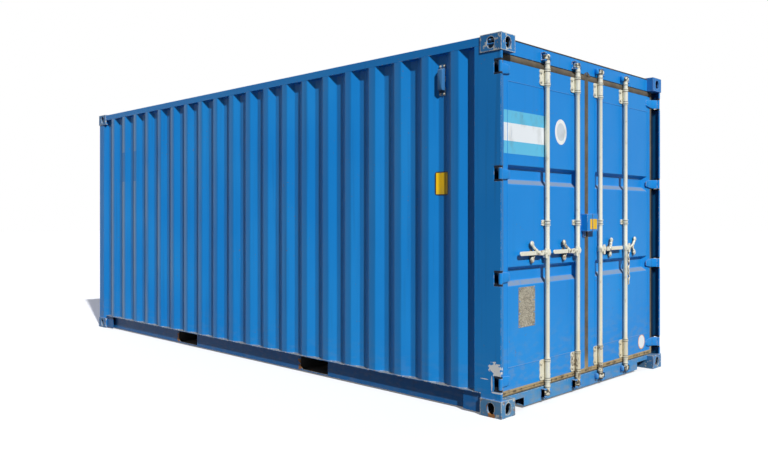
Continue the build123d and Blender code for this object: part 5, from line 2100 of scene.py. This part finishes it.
@dataclass
class Markings:
    """Blank plates and stickers: none carries a word, a mark or a drawing.

    A film on a door has one thickness. The one on the left wall stands out and reaches in.
    """

    palette: Palette
    wall: SideWall
    film: float = 0.0008
    wall_film: Pair = (0.0016, 0.0008)
    wall_corner: float = 0.018
    plate_rounding: float = 0.0006
    rivet_head: Pair = (0.006, 0.003)
    rivet_margin: float = 0.012

    def build(self) -> None:
        """Places every plate and sticker."""
        dress("data_plate", self.palette.alloy, self.plate_rounding, 1)
        self.plate_rivets()
        white, yellow = srgb(232, 238, 242), srgb(240, 190, 30)
        blue, pale = srgb(96, 190, 226), srgb(240, 242, 240)
        grey, cream, tan = srgb(206, 214, 220), srgb(232, 236, 238), srgb(214, 150, 90)
        sign = StickerFinish("sign_film", white, (-0.842, 1.940), (0.530, 0.300), blue, Field.BANDS, 0.062)
        ellipse = StickerFinish("oval_film", grey, (-0.3775, 1.9915), (0.161, 0.191), pale, Field.RIM, 0.024)
        disc = StickerFinish("disc_film", cream, (0.9525, 0.251), (0.127, 0.132), tan, Field.RIM, 0.008)
        right_label = StickerFinish("label_film", yellow, (0.0365, 1.296), (0.061, 0.080))
        left_label = StickerFinish("label_film", yellow, (-0.0230, 1.296), (0.034, 0.080))
        films = (
            Film("door_sign", Side.LEFT, "left_door_panel", sign, 0.006),
            Film("door_oval", Side.LEFT, "left_door_panel", ellipse),
            Film("door_disc", Side.RIGHT, "left_door_panel", disc),
            Film("lock_box_label_right", Side.RIGHT, "right_lock_box_half", right_label, 0.003),
            Film("lock_box_label_left", Side.LEFT, "right_lock_box_half", left_label, 0.003),
        )
        for film in films:
            film.build(self.film)
        self.wall_plate((2.4827, 1.5945), (0.124, 0.171))

    def wall_plate(self, middle: Pair, size: Pair) -> None:
        """Blank yellow film with a black border that follows the folds of the left wall.

        A column at x reaches up and down by the rounded rectangle's half height there.

        Args:
            middle: Its middle along X and Z.
            size: Its length along X and its height.
        """
        line = self.wall.line()
        half, radius = size[0] / 2, self.wall_corner
        x = np.linspace(-half, half, 41)
        over = np.maximum(np.abs(x) - (half - radius), 0.0)
        tall = size[1] / 2 - radius + np.sqrt(np.maximum(radius**2 - over**2, 0.0))
        y = np.interp(middle[0] + x, line[:, 0], line[:, 1]) - self.wall.outer()
        ring = np.stack(
            [
                np.concatenate([x, x[::-1]]) + middle[0],
                np.concatenate([y, y[::-1]]),
                np.concatenate([-tall, tall[::-1]]) + middle[1],
            ],
            axis=-1,
        )
        out, inward = self.wall_film
        film = loft(np.stack([ring - out * Y_AXIS, ring + inward * Y_AXIS]), Ends.STRIP)
        yellow, black = srgb(255, 206, 26), srgb(30, 32, 36)
        finish = StickerFinish("wall_plate_film", yellow, middle, size, black, Field.BORDER, 0.008, 0)
        make_piece("wall_plate", film, BOX_BODY, finish.material())

    def plate_rivets(self) -> None:
        """Rivets along the upright edges of the data plate."""
        low, high = box_of("data_plate")
        low, high = low + self.rivet_margin, high - self.rivet_margin
        face = high[0] + self.rivet_margin
        spots = grid_of([face], [low[1], high[1]], np.linspace(low[2], high[2], 4))
        heads = rivet(*self.rivet_head).copies(spots, X_AXIS)
        make_piece("plate_rivets", heads, Side.LEFT.door, self.palette.door)


@dataclass(frozen=True)
class Studio:
    """Pale floor, one sun, soft sky and the camera.

    The sun's values point towards it, and their length is its level. More sky is added along the back axis.
    The eye sees the floor's white and glow, and the object gets light from its grey. Angles are in degrees.
    """

    sun: Point = (0.90, -0.34, 0.76)
    sun_spread: float = 1.2
    sky: float = 0.05
    back_sky: float = 0.46
    back_axis: Point = (-0.84, 0.42, 0.34)
    sky_tint: Colour = (0.88, 0.96, 1.25)
    floor_half: float = 60.0
    floor_white: float = 0.95
    floor_glow: float = 0.17
    floor_grey: float = 0.06
    eye: Point = (5.958, -5.263, 1.358)
    turn: float = 43.892
    lens: float = 34.789
    sensor: float = 36.0
    shift: Pair = (-0.01716, -0.01863)
    farthest: float = 200.0

    def build(self) -> None:
        """Makes floor, light and camera."""
        self.make_floor()
        self.make_sky()
        self.make_sun()
        self.make_camera()
        bpy.context.scene.view_settings.view_transform = "Standard"

    def make_floor(self) -> None:
        """Large pale floor: white to the eye, grey as a source of bounced light."""
        half = self.floor_half
        mesh = bpy.data.meshes.new("studio_floor")
        corners = [(-half, -half, 0.0), (half, -half, 0.0), (half, half, 0.0), (-half, half, 0.0)]
        mesh.from_pydata(corners, [], [(0, 1, 2, 3)])
        floor = bpy.data.objects.new("studio_floor", mesh)
        bpy.context.scene.collection.objects.link(floor)
        graph = Coat("studio_floor")
        white, grey = (
            graph.node("ShaderNodeBsdfDiffuse", {"Color": (level, level, level)}).outputs[0]
            for level in (self.floor_white, self.floor_grey)
        )
        glow = graph.node("ShaderNodeEmission", {"Strength": self.floor_glow}).outputs[0]
        both = graph.node("ShaderNodeAddShader", {0: white, 1: glow}).outputs[0]
        pick = graph.node("ShaderNodeMixShader", {0: graph.seen(), 1: grey, 2: both}).outputs[0]
        graph.put(graph.tree.nodes["Material Output"].inputs["Surface"], pick)
        mesh.materials.append(graph.material)

    def make_sky(self) -> None:
        """White backdrop for the eye, and a dimmer sky as light that is stronger behind the container."""
        world = bpy.data.worlds.new("studio_sky")
        bpy.context.scene.world = world
        world.use_nodes = True
        graph = Graph(world.node_tree)
        seen = graph.seen()
        heading = graph.node("ShaderNodeTexCoord").outputs["Generated"]
        facing = graph.vector("DOT_PRODUCT", heading, self.back_axis).outputs["Value"]
        ramp = dict(enumerate((facing, 0.0, 1.0, self.sky, self.sky + self.back_sky)))
        level = graph.node("ShaderNodeMapRange", ramp).outputs[0]
        strength = graph.node("ShaderNodeMix", {0: seen, 2: level, 3: 1.0}).outputs[0]
        light = graph.tree.nodes["Background"]
        graph.put(light.inputs["Strength"], strength)
        graph.put(light.inputs["Color"], graph.mix(seen, self.sky_tint, (1.0, 1.0, 1.0)))

    def make_sun(self) -> None:
        """One sun, whose strength is pi times the level so that a colour renders about as written."""
        lamp = bpy.data.lights.new("studio_sun", "SUN")
        level = float(np.linalg.norm(self.sun))
        lamp.energy = level * math.pi
        lamp.angle = math.radians(self.sun_spread)
        holder = bpy.data.objects.new("studio_sun", lamp)
        x, y, z = self.sun
        holder.rotation_euler = (math.acos(z / level), 0.0, math.atan2(y, x) + math.pi / 2)
        bpy.context.scene.collection.objects.link(holder)

    def make_camera(self) -> None:
        """Camera at a standing height, level, beside the doors."""
        camera = bpy.data.cameras.new("camera")
        camera.lens = self.lens
        camera.sensor_width = self.sensor
        camera.shift_x, camera.shift_y = self.shift
        camera.clip_end = self.farthest
        holder = bpy.data.objects.new("camera", camera)
        holder.location = self.eye
        holder.rotation_euler = (math.radians(90.0), 0.0, math.radians(self.turn))
        bpy.context.scene.collection.objects.link(holder)
        bpy.context.scene.camera = holder


def main() -> None:
    """Builds every sub-assembly in order, then the studio."""
    logging.basicConfig(level=logging.INFO, format="%(name)s: %(message)s")
    palette = Palette()
    FrameWork(palette).build()
    walls = {side: SideWall(side, palette) for side in Side}
    for wall in walls.values():
        wall.build()
    EndAndRoof(palette).build()
    Ventilators(palette).build()
    Underframe(palette).build()
    for side in Side:
        DoorLeaf(side, palette).build()
    Markings(palette, walls[Side.LEFT]).build()
    Studio().build()


if __name__ == "__main__":
    main()
